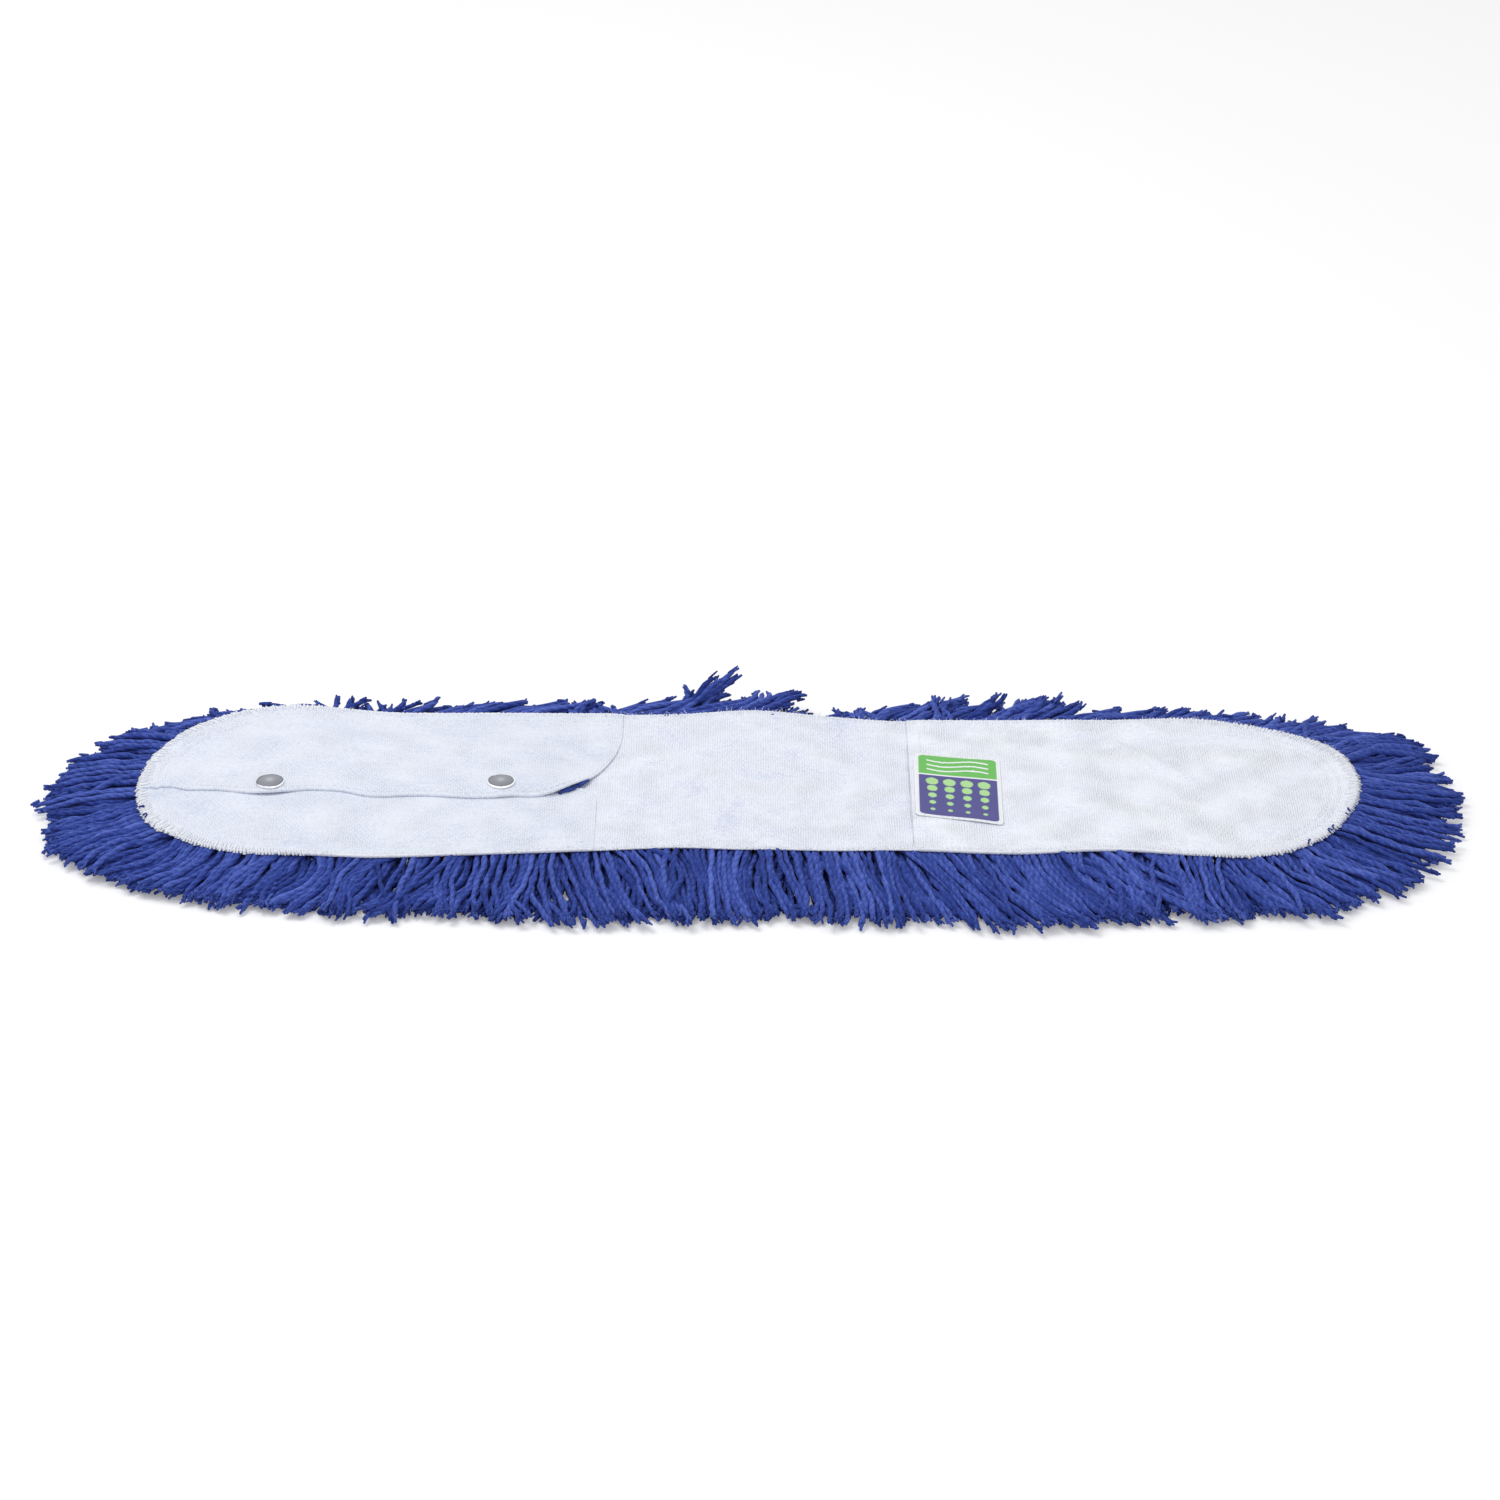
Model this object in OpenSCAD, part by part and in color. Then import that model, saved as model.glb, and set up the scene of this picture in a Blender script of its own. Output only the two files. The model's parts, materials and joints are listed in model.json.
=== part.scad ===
// Flat mop sleeve: a canvas sleeve with a slip pocket and a press-stud pocket, on a bed of loose yarn.
// Millimetres. +X runs along the sleeve to the slip pocket, +Y to the back, +Z up. The yarn rests on z = 0.

/* [Cloth] */
// Length of the canvas base
cloth_l = 650; // [560:1:760]
// Width of the canvas base
cloth_w = 160; // [150:1:200]
// Thickness of one layer of canvas
cloth_t = 0.9; // [0.6:0.1:1.4]
// Distance from the cloth's edge to the outer seam
seam_inset = 9; // [6:0.5:12]
// Distance between the two seams
seam_pitch = 5; // [3:0.5:7]
// Flat band inside the inner seam, before the pockets rise
rim_rest = 2; // [1.5:0.5:4]
// Width over which a pocket rises from its rim
ramp_w = 5; // [4:0.5:10]
// How far the middle of the base sinks below its sewn rim
dish_depth = 2.8; // [1.5:0.1:5]

/* [Yarn] */
// Height of the sewn rim of the base above the floor
pile_h = 12.8; // [10:0.1:18]
// Thickness of one strand of yarn
yarn_d = 3; // [2:0.1:4]
// Free length of the fringe along the two long sides
fringe_side = 55; // [32:1:60]
// Free length of the fringe round the two ends
fringe_end = 57; // [40:1:75]
// How much shorter the shortest lock of the fringe is
fringe_ragged = 5; // [0:0.5:10]
// How far the fringe runs in under the cloth
fringe_root = 14; // [10:1:18]
// Width of one lock of the fringe on the long sides
lock_w = 20.4; // [14:0.1:30]
// Number of locks round each end
end_locks = 13; // [9:1:17]
// Gap between neighbouring locks
lock_gap = 1.2; // [0.6:0.1:3]
// Distance between the rows of yarn on the underside
row_pitch = 14.2; // [10:0.1:20]
// Gap between neighbouring rows on the underside
row_gap = 1; // [0.5:0.1:2]
// Thickness of the heading tape that the fringe is sewn to
tape_t = 0.8; // [0.4:0.1:1.2]
// Width of the heading tape
tape_w = 14; // [10:0.5:16]

/* [Pockets] */
// Clear height inside each pocket
pocket_h = 4.8; // [4.8:0.1:9]
// Length of the slip pocket
slip_l = 239; // [180:1:270]
// Distance from the slip pocket's mouth to its hem seam
hem_w = 7; // [4:0.5:12]
// Length of the rear flap
rear_l = 256; // [230:1:280]
// How far the rear flap passes the middle of the sleeve
rear_reach = 25; // [23:0.5:36]
// Radius of the rear flap's free corner
rear_corner_r = 34; // [10:1:40]
// Length of the front flap
front_l = 244; // [225:1:250]
// How far the front flap passes the middle of the sleeve, negative where it stops short
front_reach = -2; // [-3.5:0.5:4]
// Radius of the front flap's free corner
front_corner_r = 20; // [6:1:30]

/* [Press studs] */
// Diameter of the cap
cap_d = 15; // [12:0.5:18]
// Radius of the cap's rolled rim
cap_rim_r = 0.75; // [0.5:0.05:1]
// Height of the cap's dome above its rim
cap_dome_h = 0.6; // [0.3:0.1:1.5]
// Diameter of the shanks that are riveted through the cloth
shank_d = 3.6; // [3:0.1:4.2]
// Diameter of the socket
socket_d = 11; // [9:0.5:12]
// Thickness of the socket
socket_t = 0.9; // [0.8:0.1:1.6]
// Diameter of the stud's flange and of the post's flange
flange_d = 10.5; // [9:0.5:12]
// Thickness of the stud's flange
flange_t = 0.4; // [0.3:0.1:0.8]
// Gap between the stud's flange and the socket
stud_gap = 0.25; // [0.2:0.05:0.5]
// Diameter of the stud's head
head_d = 4.4; // [3.5:0.1:5]
// Play round the stud's head in the socket
head_play = 0.8; // [0.7:0.05:1.2]
// Thickness of the post's flange
post_t = 0.6; // [0.4:0.1:0.7]
// Distance between the two press studs
snap_pitch = 123; // [105:1:130]
// Distance from the rear flap's mouth end to the nearer press stud
snap_from_mouth = 63; // [55:1:72]
// Distance from the rear flap's free edge to the press studs
snap_inset = 13; // [11:0.5:16]

/* [Folding] */
// Cloth left between a fold line and the nearest press stud
fold_margin = 0.6; // [0.5:0.1:2]
// Height of the rear flap's fold axis above the cloth
rear_roll = 1.2; // [1:0.1:2]
// Height of the front flap's fold axis above the cloth
front_roll = 0.4; // [0.3:0.1:1]
// Distance kept between the front flap's edge and the rear flap's fold
fold_clear = 4; // [3:0.5:8]
// Width of the cut between a flap's moving part and its sewn part
cut_gap = 0.5; // [0.4:0.1:1]

/* [Label and thread] */
// Width of the label, along the sleeve
label_w = 46; // [30:1:60]
// Length of the label, across the sleeve
label_l = 78; // [50:1:84]
// Thickness of the label
label_t = 0.4; // [0.2:0.1:0.8]
// Distance from the slip pocket's mouth to the label
label_from_mouth = 4; // [1:0.5:20]
// How far the label's centre sits towards the front
label_front = 8.5; // [0:0.5:9]
// Distance from the label's edge to its stitching
label_stitch_inset = 1.6; // [1:0.1:4]
// Width of a line of stitching
thread_w = 0.6; // [0.4:0.1:1]
// Height of a line of stitching above the cloth
thread_h = 0.35; // [0.2:0.05:0.6]
// Distance from a flap's free edge to its hem seam
flap_hem = 4; // [3:0.5:5]
// Thickness of the overlocked edge
overlock_t = 0.8; // [0.4:0.1:1.2]
// Height of the overlocked edge
overlock_h = 2; // [1.4:0.1:3]

/* [Hidden] */

$fn = 96;
CLOTH = "#E3E8F2";
YARN = "#39488F";
THREAD = "#EDF0F7";
METAL = "#B9BCC2";
LABEL = "#2F8F86";

far = 4 * cloth_l;
fit = 0.1;                                    // hair-line gap between a piece and the edge it hugs

end_r = cloth_w / 2;                          // radius of the cloth's round ends
end_x = cloth_l / 2 - end_r;                  // centre of each round end
seam_outer_r = end_r - seam_inset;
seam_inner_r = seam_outer_r - seam_pitch;
ramp_r = seam_inner_r - rim_rest;             // where a pocket starts to rise
rear_ramp_r = ramp_r + rim_rest / 2;
plateau_r = ramp_r - ramp_w;                  // where the pocket lies flat again
wall_shift = 0.6 * cloth_t;                   // keeps the canvas as thick on the slope

base_z = pile_h;                              // underside of the base's rim
tape_z = base_z - tape_t;
base_top = base_z + cloth_t;
floor_z = base_z - dish_depth;                // underside of the base's sunken middle
floor_top = floor_z + cloth_t;
flap_gap = flange_t + socket_t + stud_gap;    // between the flaps' faces, filled by a press stud
front_z = floor_top + pocket_h;               // underside of the front flap
front_top = front_z + cloth_t;
rear_z = front_top + flap_gap;                // underside of the rear flap
rear_top = rear_z + cloth_t;
slip_top = floor_top + pocket_h + cloth_t;

slip_mouth_x = cloth_l / 2 - slip_l;
rear_mouth_x = rear_l - cloth_l / 2;
front_mouth_x = front_l - cloth_l / 2;
snap_right = [rear_mouth_x - snap_from_mouth, snap_inset - rear_reach];
snap_left = snap_right - [snap_pitch, 0];

// The rear flap folds on a line from its mouth end that just clears the left cap.
rear_pivot = [rear_mouth_x, seam_inner_r];
rear_to_cap = snap_left - rear_pivot;
rear_fold_angle = atan2(rear_to_cap.y, rear_to_cap.x)
                  - asin((cap_d / 2 + fold_margin) / norm(rear_to_cap)) + 360;
rear_slope = tan(rear_fold_angle);

// The front flap folds from a point on its free edge that stays clear of the rear flap's fold.
front_start = [rear_pivot.x + (front_reach + fold_clear - rear_pivot.y) / rear_slope, front_reach];
front_pivot = [front_mouth_x, -seam_inner_r];
front_along = front_pivot - front_start;
front_fold_angle = atan2(front_along.y, front_along.x);

// ---- flat outlines ----

module stadium(r) {
    square([2 * end_x, 2 * r], center = true);
    translate([end_x, 0]) circle(r);
    translate([-end_x, 0]) circle(r);
}

module stadium_ring(outer_r, inner_r) {
    difference() {
        stadium(outer_r);
        stadium(inner_r);
    }
}

// Everything between x0 and x1, and between y0 and y1.
module zone(x0, x1, y0, y1) {
    translate([x0, y0]) square([x1 - x0, y1 - y0]);
}

// The side of a fold line that moves, where grow widens it.
module fold_side(start, angle, grow) {
    translate(start) rotate(angle) translate([-far, -grow]) square([2 * far, far]);
}

// A flap that ends at mouth_x and at free_y, with one round corner. side is 1 for a flap sewn at the back.
module flap_outline(mouth_x, free_y, corner_r, side, inset) {
    edge_x = mouth_x - inset;
    edge_y = free_y + side * inset;
    r = corner_r - inset;
    scale_y = side > 0 ? 0 : 1;
    difference() {
        translate([edge_x - far, side > 0 ? edge_y : edge_y - far]) square([far, far]);
        difference() {
            translate([edge_x - r, edge_y - scale_y * r]) square([r, r]);
            translate([edge_x - r, edge_y + side * r]) circle(r);
        }
    }
}

module rear_outline(inset) {
    flap_outline(rear_mouth_x, -rear_reach, rear_corner_r, 1, inset);
}

module front_outline(inset) {
    flap_outline(front_mouth_x, front_reach, front_corner_r, -1, inset);
}

module rear_moving_zone(grow) {
    intersection() {
        fold_side(rear_pivot, rear_fold_angle, grow - cut_gap / 2);
        stadium(plateau_r + grow - cut_gap);
    }
}

module front_moving_zone(grow) {
    intersection() {
        fold_side(front_start, front_fold_angle, grow - cut_gap / 2);
        stadium(plateau_r + grow - 2 * cut_gap);
    }
}

// ---- canvas shells ----

// Half of a pocket's section, from the middle out to the cloth's edge.
module pocket_section(rim_z, top_z, rise_r) {
    polygon([[0, top_z - cloth_t],
             [0, top_z],
             [rise_r - ramp_w, top_z],
             [rise_r, rim_z + cloth_t],
             [end_r, rim_z + cloth_t],
             [end_r, rim_z],
             [rise_r - wall_shift, rim_z],
             [rise_r - ramp_w - wall_shift, top_z - cloth_t]]);
}

// Half of the base's section, from the middle out to the cloth's edge.
module dish_section() {
    polygon([[0, floor_z],
             [0, floor_top],
             [plateau_r, floor_top],
             [ramp_r, base_top],
             [end_r, base_top],
             [end_r, base_z],
             [ramp_r + wall_shift, base_z],
             [plateau_r + wall_shift, floor_z]]);
}

// A canvas shell over one end of the sleeve, open towards the middle. end is 1 at the right.
module pocket_shell(rim_z, top_z, rise_r, end, mouth_x) {
    length = end_x - end * mouth_x;
    translate([end * end_x, 0, 0]) rotate(end > 0 ? -90 : 90)
        rotate_extrude(angle = 180) pocket_section(rim_z, top_z, rise_r);
    for (side = [0, 1])
        translate([end > 0 ? mouth_x : -end_x, 0, 0]) mirror([0, side, 0])
            rotate([90, 0, 90]) linear_extrude(length) pocket_section(rim_z, top_z, rise_r);
}

module shank_hole(at, z) {
    translate([at.x, at.y, z - cloth_t]) cylinder(d = shank_d + 4 * fit, h = 3 * cloth_t);
}

module dish() {
    for (end = [-1, 1])
        translate([end * end_x, 0, 0]) rotate(end > 0 ? -90 : 90)
            rotate_extrude(angle = 180) dish_section();
    for (side = [0, 1])
        translate([-end_x, 0, 0]) mirror([0, side, 0])
            rotate([90, 0, 90]) linear_extrude(2 * end_x) dish_section();
}

// The base is a shallow dish of one canvas: a flat middle that sinks into the yarn, and a raised border.
module base_cloth() {
    color(CLOTH) translate([0, 0, floor_z]) linear_extrude(cloth_t) stadium(plateau_r);
}

module base_border() {
    color(CLOTH) difference() {
        dish();
        translate([0, 0, floor_z - cloth_t]) linear_extrude(3 * cloth_t) stadium(plateau_r);
    }
}

module slip_pocket() {
    color(CLOTH) pocket_shell(base_top, slip_top, ramp_r, 1, slip_mouth_x);
}

module rear_flap_sewn() {
    color(CLOTH) {
        difference() {
            pocket_shell(base_top + cloth_t, rear_top, rear_ramp_r, -1, rear_mouth_x);
            translate([0, 0, base_z]) linear_extrude(far) rear_moving_zone(cut_gap);
            translate([0, 0, base_z]) linear_extrude(far) difference() {
                square(far, center = true);
                rear_outline(0);
            }
        }
        // The seam allowance is turned under, beyond the strip where both flaps lie on each other.
        translate([0, 0, base_top]) linear_extrude(cloth_t) intersection() {
            stadium_ring(end_r, rear_ramp_r);
            zone(-far, rear_mouth_x, front_reach + cut_gap, far);
        }
    }
}

module rear_flap() {
    color(CLOTH) difference() {
        translate([0, 0, rear_z]) linear_extrude(cloth_t) intersection() {
            rear_outline(0);
            rear_moving_zone(0);
        }
        shank_hole(snap_left, rear_z);
        shank_hole(snap_right, rear_z);
    }
}

module front_flap_sewn() {
    color(CLOTH) difference() {
        pocket_shell(base_top, front_top, ramp_r, -1, front_mouth_x);
        translate([0, 0, base_z]) linear_extrude(far) front_moving_zone(cut_gap);
        translate([0, 0, base_z]) linear_extrude(far) difference() {
            square(far, center = true);
            front_outline(0);
        }
        shank_hole(snap_left, front_z);
    }
}

module front_flap() {
    color(CLOTH) difference() {
        translate([0, 0, front_z]) linear_extrude(cloth_t) intersection() {
            front_outline(0);
            front_moving_zone(0);
        }
        shank_hole(snap_right, front_z);
    }
}

// ---- yarn ----

// Plan of one lock: wide at the root, round at the tip. half_angle opens a lock of an end's fan.
module lock_plan(root_r, tip_r, half_angle, width) {
    tip_w = (half_angle > 0) ? 2 * (tip_r - width) * tan(half_angle) - lock_gap : width;
    root_w = (half_angle > 0) ? 2 * root_r * tan(half_angle) - lock_gap : width;
    tip_y = tip_r - tip_w / 2;
    polygon([[-root_w / 2, root_r], [root_w / 2, root_r], [tip_w / 2, tip_y], [-tip_w / 2, tip_y]]);
    translate([0, tip_y]) circle(d = tip_w);
}

// One lock, which leaves the cloth along +Y and droops to the floor, where its tip is one strand thick.
module lock(length, half_angle, width) {
    root_r = end_r - fringe_root;
    tip_r = end_r + length;
    crest_r = end_r + length * 0.1;
    mid_r = end_r + length * 0.55;
    intersection() {
        linear_extrude(pile_h) lock_plan(root_r, tip_r, half_angle, width);
        translate([-far / 2, 0, 0]) rotate([90, 0, 90]) linear_extrude(far)
            polygon([[root_r, 0], [root_r, tape_z], [crest_r, tape_z], [mid_r, tape_z * 0.8],
                     [tip_r, yarn_d], [tip_r, 0]]);
    }
}

// Lengths vary from lock to lock, and the longest lock keeps the full length.
function ragged(i) = fringe_ragged * (0.5 - 0.5 * cos(i * 150));

module side_fringe() {
    count = floor(2 * end_x / lock_w);
    pitch = 2 * end_x / count;
    for (i = [0 : count - 1])
        translate([-end_x + (i + 0.5) * pitch, 0, 0]) lock(fringe_side - ragged(i), 0, pitch - lock_gap);
}

module end_fringe() {
    step = 180 / end_locks;
    middle = (end_locks - 1) / 2;
    for (i = [0 : end_locks - 1]) {
        turn = (i + 0.5) * step;
        length = fringe_side + (fringe_end - fringe_side) * sin(turn);
        translate([-end_x, 0, 0]) rotate(turn)
            lock(length - ragged(i - middle), step / 2, lock_w / 2);
    }
}

module yarn_back() {
    color(YARN) side_fringe();
}

module yarn_front() {
    color(YARN) mirror([0, 1, 0]) side_fringe();
}

module yarn_left() {
    color(YARN) end_fringe();
}

module yarn_right() {
    color(YARN) mirror([1, 0, 0]) end_fringe();
}

module yarn_underside() {
    bed_r = end_r - max(fringe_root, tape_w) - row_gap;
    row_w = row_pitch - row_gap;
    pairs = floor((bed_r - row_w / 2) / row_pitch);
    color(YARN) for (i = [-pairs : pairs]) {
        half = end_x + sqrt(pow(bed_r, 2) - pow(abs(i) * row_pitch + row_w / 2, 2));
        translate([-half, i * row_pitch, 0]) rotate([90, 0, 90]) linear_extrude(2 * half)
            polygon([[-row_w / 2, yarn_d], [yarn_d - row_w / 2, 0], [row_w / 2 - yarn_d, 0],
                     [row_w / 2, yarn_d], [row_w / 2, floor_z], [-row_w / 2, floor_z]]);
    }
}

module fringe_tape() {
    color(CLOTH) translate([0, 0, tape_z]) linear_extrude(tape_t) stadium_ring(end_r, end_r - tape_w);
}

// ---- press studs ----

module snap_cap(at) {
    rim_x = cap_d / 2 - cap_rim_r;
    translate([at.x, at.y, rear_top]) rotate_extrude() {
        translate([rim_x, cap_rim_r]) intersection() {
            circle(cap_rim_r, $fn = 48);
            square(2 * cap_rim_r, center = true);
        }
        polygon(concat([[0, 0], [rim_x, 0]],
                       [for (a = [0 : 10 : 90]) [rim_x * cos(a), 2 * cap_rim_r + cap_dome_h * sin(a)]]));
    }
    translate([at.x, at.y, rear_z]) cylinder(d = shank_d, h = cloth_t + cap_rim_r);
}

module snap_caps() {
    color(METAL) {
        snap_cap(snap_left);
        snap_cap(snap_right);
    }
}

module snap_socket(at) {
    translate([at.x, at.y, rear_z - socket_t]) difference() {
        cylinder(d = socket_d, h = socket_t);
        translate([0, 0, -socket_t]) cylinder(d = head_d + 2 * head_play, h = 3 * socket_t);
    }
}

module snap_sockets() {
    color(METAL) {
        snap_socket(snap_left);
        snap_socket(snap_right);
    }
}

module snap_stud(at) {
    head_h = flap_gap - 2 * fit;
    neck_d = 0.85 * head_d;
    color(METAL) translate([at.x, at.y, front_top]) {
        cylinder(d = flange_d, h = flange_t);
        cylinder(d = neck_d, h = head_h);
        translate([0, 0, head_h / 2]) cylinder(d1 = neck_d, d2 = head_d, h = head_h / 4);
        translate([0, 0, 3 * head_h / 4]) cylinder(d1 = head_d, d2 = neck_d, h = head_h / 4);
    }
}

module snap_stud_left() {
    snap_stud(snap_left);
}

module snap_stud_right() {
    snap_stud(snap_right);
}

module snap_post(at) {
    color(METAL) translate([at.x, at.y, front_z - post_t]) {
        cylinder(d = flange_d, h = post_t);
        cylinder(d = shank_d, h = post_t + cloth_t);
    }
}

module snap_post_left() {
    snap_post(snap_left);
}

module snap_post_right() {
    snap_post(snap_right);
}

// ---- label and thread ----

label_x = slip_mouth_x + label_from_mouth + label_w / 2;

module label() {
    color(LABEL) translate([label_x, -label_front, slip_top + label_t / 2])
        cube([label_w, label_l, label_t], center = true);
}

module label_stitching() {
    w = label_w - 2 * label_stitch_inset;
    l = label_l - 2 * label_stitch_inset;
    color(THREAD) translate([label_x, -label_front, slip_top + label_t]) linear_extrude(thread_h)
        difference() {
            square([w, l], center = true);
            square([w - 2 * thread_w, l - 2 * thread_w], center = true);
        }
}

module edge_overlock() {
    color(THREAD) translate([0, 0, base_z]) linear_extrude(overlock_h)
        stadium_ring(end_r + fit + overlock_t, end_r + fit);
}

// Both seams, where they run over the part of the sleeve between x0 and x1 and between y0 and y1.
module seam_pair(x0, x1, y0, y1, z) {
    translate([0, 0, z]) linear_extrude(thread_h) intersection() {
        union() {
            stadium_ring(seam_outer_r + thread_w / 2, seam_outer_r - thread_w / 2);
            stadium_ring(seam_inner_r + thread_w / 2, seam_inner_r - thread_w / 2);
        }
        zone(x0, x1, y0, y1);
    }
}

module perimeter_seams() {
    color(THREAD) {
        seam_pair(slip_mouth_x, far, -far, far, base_top + cloth_t);
        seam_pair(rear_mouth_x + fit, slip_mouth_x - fit, 0, far, base_top);
        seam_pair(front_mouth_x + fit, slip_mouth_x - fit, -far, 0, base_top);
        seam_pair(-far, rear_mouth_x, -rear_reach, far, base_top + 2 * cloth_t);
        seam_pair(-far, front_mouth_x, -far, -rear_reach - fit, base_top + cloth_t);
    }
}

// The hem seam stops at the label, which is sewn over it.
module pocket_hem_stitching() {
    color(THREAD) translate([slip_mouth_x + hem_w - thread_w / 2, 0, slip_top]) {
        translate([0, -plateau_r, 0])
            cube([thread_w, plateau_r - label_front - label_l / 2 - fit, thread_h]);
        translate([0, label_l / 2 - label_front + fit, 0])
            cube([thread_w, plateau_r + label_front - label_l / 2 - fit, thread_h]);
    }
}

module rear_flap_stitching() {
    color(THREAD) translate([0, 0, rear_top]) linear_extrude(thread_h) intersection() {
        difference() {
            rear_outline(flap_hem);
            rear_outline(flap_hem + thread_w);
        }
        rear_moving_zone(0);
    }
}

module front_flap_stitching() {
    color(THREAD) translate([0, 0, front_top]) linear_extrude(thread_h) intersection() {
        difference() {
            front_outline(flap_hem);
            front_outline(flap_hem + thread_w);
        }
        front_moving_zone(0);
    }
}

base_cloth();
base_border();
fringe_tape();
yarn_front();
yarn_back();
yarn_left();
yarn_right();
yarn_underside();
slip_pocket();
rear_flap_sewn();
rear_flap();
front_flap_sewn();
front_flap();
label();
snap_caps();
snap_sockets();
snap_stud_left();
snap_stud_right();
snap_post_left();
snap_post_right();
edge_overlock();
perimeter_seams();
pocket_hem_stitching();
rear_flap_stitching();
front_flap_stitching();
label_stitching();
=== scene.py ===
"""Looks for the flat mop sleeve: canvas sheets, cut yarn, stitches, label and press studs.

Metres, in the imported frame: +X to the slip pocket, +Y to the back, +Z up, the yarn rests on z = 0.
"""
import json
import math

import bpy
import numpy as np
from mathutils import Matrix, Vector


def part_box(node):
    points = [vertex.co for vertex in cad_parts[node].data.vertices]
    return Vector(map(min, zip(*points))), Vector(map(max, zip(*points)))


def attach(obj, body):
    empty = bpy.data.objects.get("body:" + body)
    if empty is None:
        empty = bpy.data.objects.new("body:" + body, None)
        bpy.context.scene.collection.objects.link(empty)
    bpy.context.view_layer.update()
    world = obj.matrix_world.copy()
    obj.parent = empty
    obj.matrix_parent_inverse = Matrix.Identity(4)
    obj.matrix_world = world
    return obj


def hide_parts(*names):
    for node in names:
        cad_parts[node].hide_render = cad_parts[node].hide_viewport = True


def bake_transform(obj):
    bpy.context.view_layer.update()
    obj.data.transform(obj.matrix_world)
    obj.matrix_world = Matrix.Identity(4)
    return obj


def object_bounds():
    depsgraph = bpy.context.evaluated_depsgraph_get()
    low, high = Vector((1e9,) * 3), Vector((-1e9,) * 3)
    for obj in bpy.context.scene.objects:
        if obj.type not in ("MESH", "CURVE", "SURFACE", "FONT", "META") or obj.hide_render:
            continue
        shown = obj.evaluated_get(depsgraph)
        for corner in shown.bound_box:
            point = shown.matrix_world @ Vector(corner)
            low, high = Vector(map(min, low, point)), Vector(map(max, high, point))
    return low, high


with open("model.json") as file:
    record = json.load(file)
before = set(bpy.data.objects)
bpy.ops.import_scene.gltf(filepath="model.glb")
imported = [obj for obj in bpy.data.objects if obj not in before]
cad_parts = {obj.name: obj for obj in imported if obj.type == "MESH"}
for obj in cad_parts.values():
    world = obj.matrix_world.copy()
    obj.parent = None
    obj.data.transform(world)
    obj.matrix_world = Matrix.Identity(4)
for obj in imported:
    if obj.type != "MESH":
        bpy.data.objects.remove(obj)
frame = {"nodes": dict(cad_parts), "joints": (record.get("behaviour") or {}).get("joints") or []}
cad_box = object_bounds()
bpy.ops.object.select_all(action="DESELECT")

MM = 0.001
PI = math.pi

# ---- places and sizes, all taken from the frame ----

base_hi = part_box("base_border")[1]
slip_lo, slip_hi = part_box("slip_pocket")
front_lo, front_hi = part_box("front_flap")
rear_lo, rear_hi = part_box("rear_flap")
caps_lo, caps_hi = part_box("snap_caps")
label_lo, label_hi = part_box("label")
tape_lo, tape_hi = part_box("fringe_tape")

END_R = base_hi.y                                   # radius of the canvas's round ends
END_X = base_hi.x - END_R                           # centre of each round end
CLOTH_T = front_hi.z - front_lo.z
RIM_Z = base_hi.z                                   # top of the base along its edge
FLOOR_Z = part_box("base_cloth")[1].z                 # top of the base in its sunken middle
SLIP_MOUTH = slip_lo.x
REAR_MOUTH = rear_hi.x
FRONT_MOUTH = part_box("front_flap_sewn")[1].x
REAR_EDGE = rear_lo.y                               # free edge of the rear flap
FRONT_EDGE = front_hi.y                             # free edge of the front flap, under the rear one
SEAM_OUTER = END_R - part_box("perimeter_seams")[1].y     # distance of the outer seam from the edge
SEAM_INNER = SEAM_OUTER + 5 * MM
CAP_R = (caps_hi.y - caps_lo.y) / 2
CAP_Y = (caps_lo.y + caps_hi.y) / 2
CAP_LEFT = np.array([caps_lo.x + CAP_R, CAP_Y])
CAP_RIGHT = np.array([caps_hi.x - CAP_R, CAP_Y])
LABEL_X = (label_lo.x + label_hi.x) / 2
LABEL_Y = (label_lo.y + label_hi.y) / 2
LABEL_W = label_hi.x - label_lo.x
LABEL_L = label_hi.y - label_lo.y
LABEL_T = label_hi.z - label_lo.z
END_REACH = cad_box[1][0] - base_hi.x               # free length of the fringe past the ends
SIDE_REACH = cad_box[1][1] - base_hi.y              # and past the long sides


# ---- small helpers ----

def smooth(start, end, x):
    """0 before start and 1 after end, with a soft step between them."""
    t = np.clip((x - start) / (end - start), 0, 1)
    return t * t * (3 - 2 * t)


def through(x, *knots):
    """A smooth curve through a few (x, value) knots, which never overshoots them."""
    at, value = np.array(knots, float).T
    rise = np.diff(value) / np.diff(at)
    before, after = rise[:-1], rise[1:]
    same_way = before * after > 0
    meeting = np.where(same_way, 2 * before * after / np.where(same_way, before + after, 1), 0)
    slope = np.concatenate([[0], meeting, [0]])
    i = np.clip(np.searchsorted(at, x) - 1, 0, len(at) - 2)
    span = at[i + 1] - at[i]
    t = np.clip((x - at[i]) / span, 0, 1)
    start = value[i] * (1 + 2 * t) + slope[i] * span * t
    end = value[i + 1] * (3 - 2 * t) - slope[i + 1] * span * (1 - t)
    return start * (1 - t) ** 2 + end * t ** 2


def ripple(x, y, wavelength, seed, waves=7):
    """Smooth unevenness between about -1 and 1, the same on every run."""
    rng = np.random.default_rng(seed)
    total = 0
    for turn, phase, stretch in zip(rng.uniform(0, 2 * PI, waves), rng.uniform(0, 2 * PI, waves),
                                    rng.uniform(0.7, 1.4, waves)):
        k = 2 * PI / (wavelength * stretch)
        total = total + np.sin(k * (x * math.cos(turn) + y * math.sin(turn)) + phase)
    return total / waves * 1.6


def inset(x, y):
    """How far a point lies inside the canvas's edge."""
    return END_R - np.hypot(np.maximum(np.abs(x) - END_X, 0), y)


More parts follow.
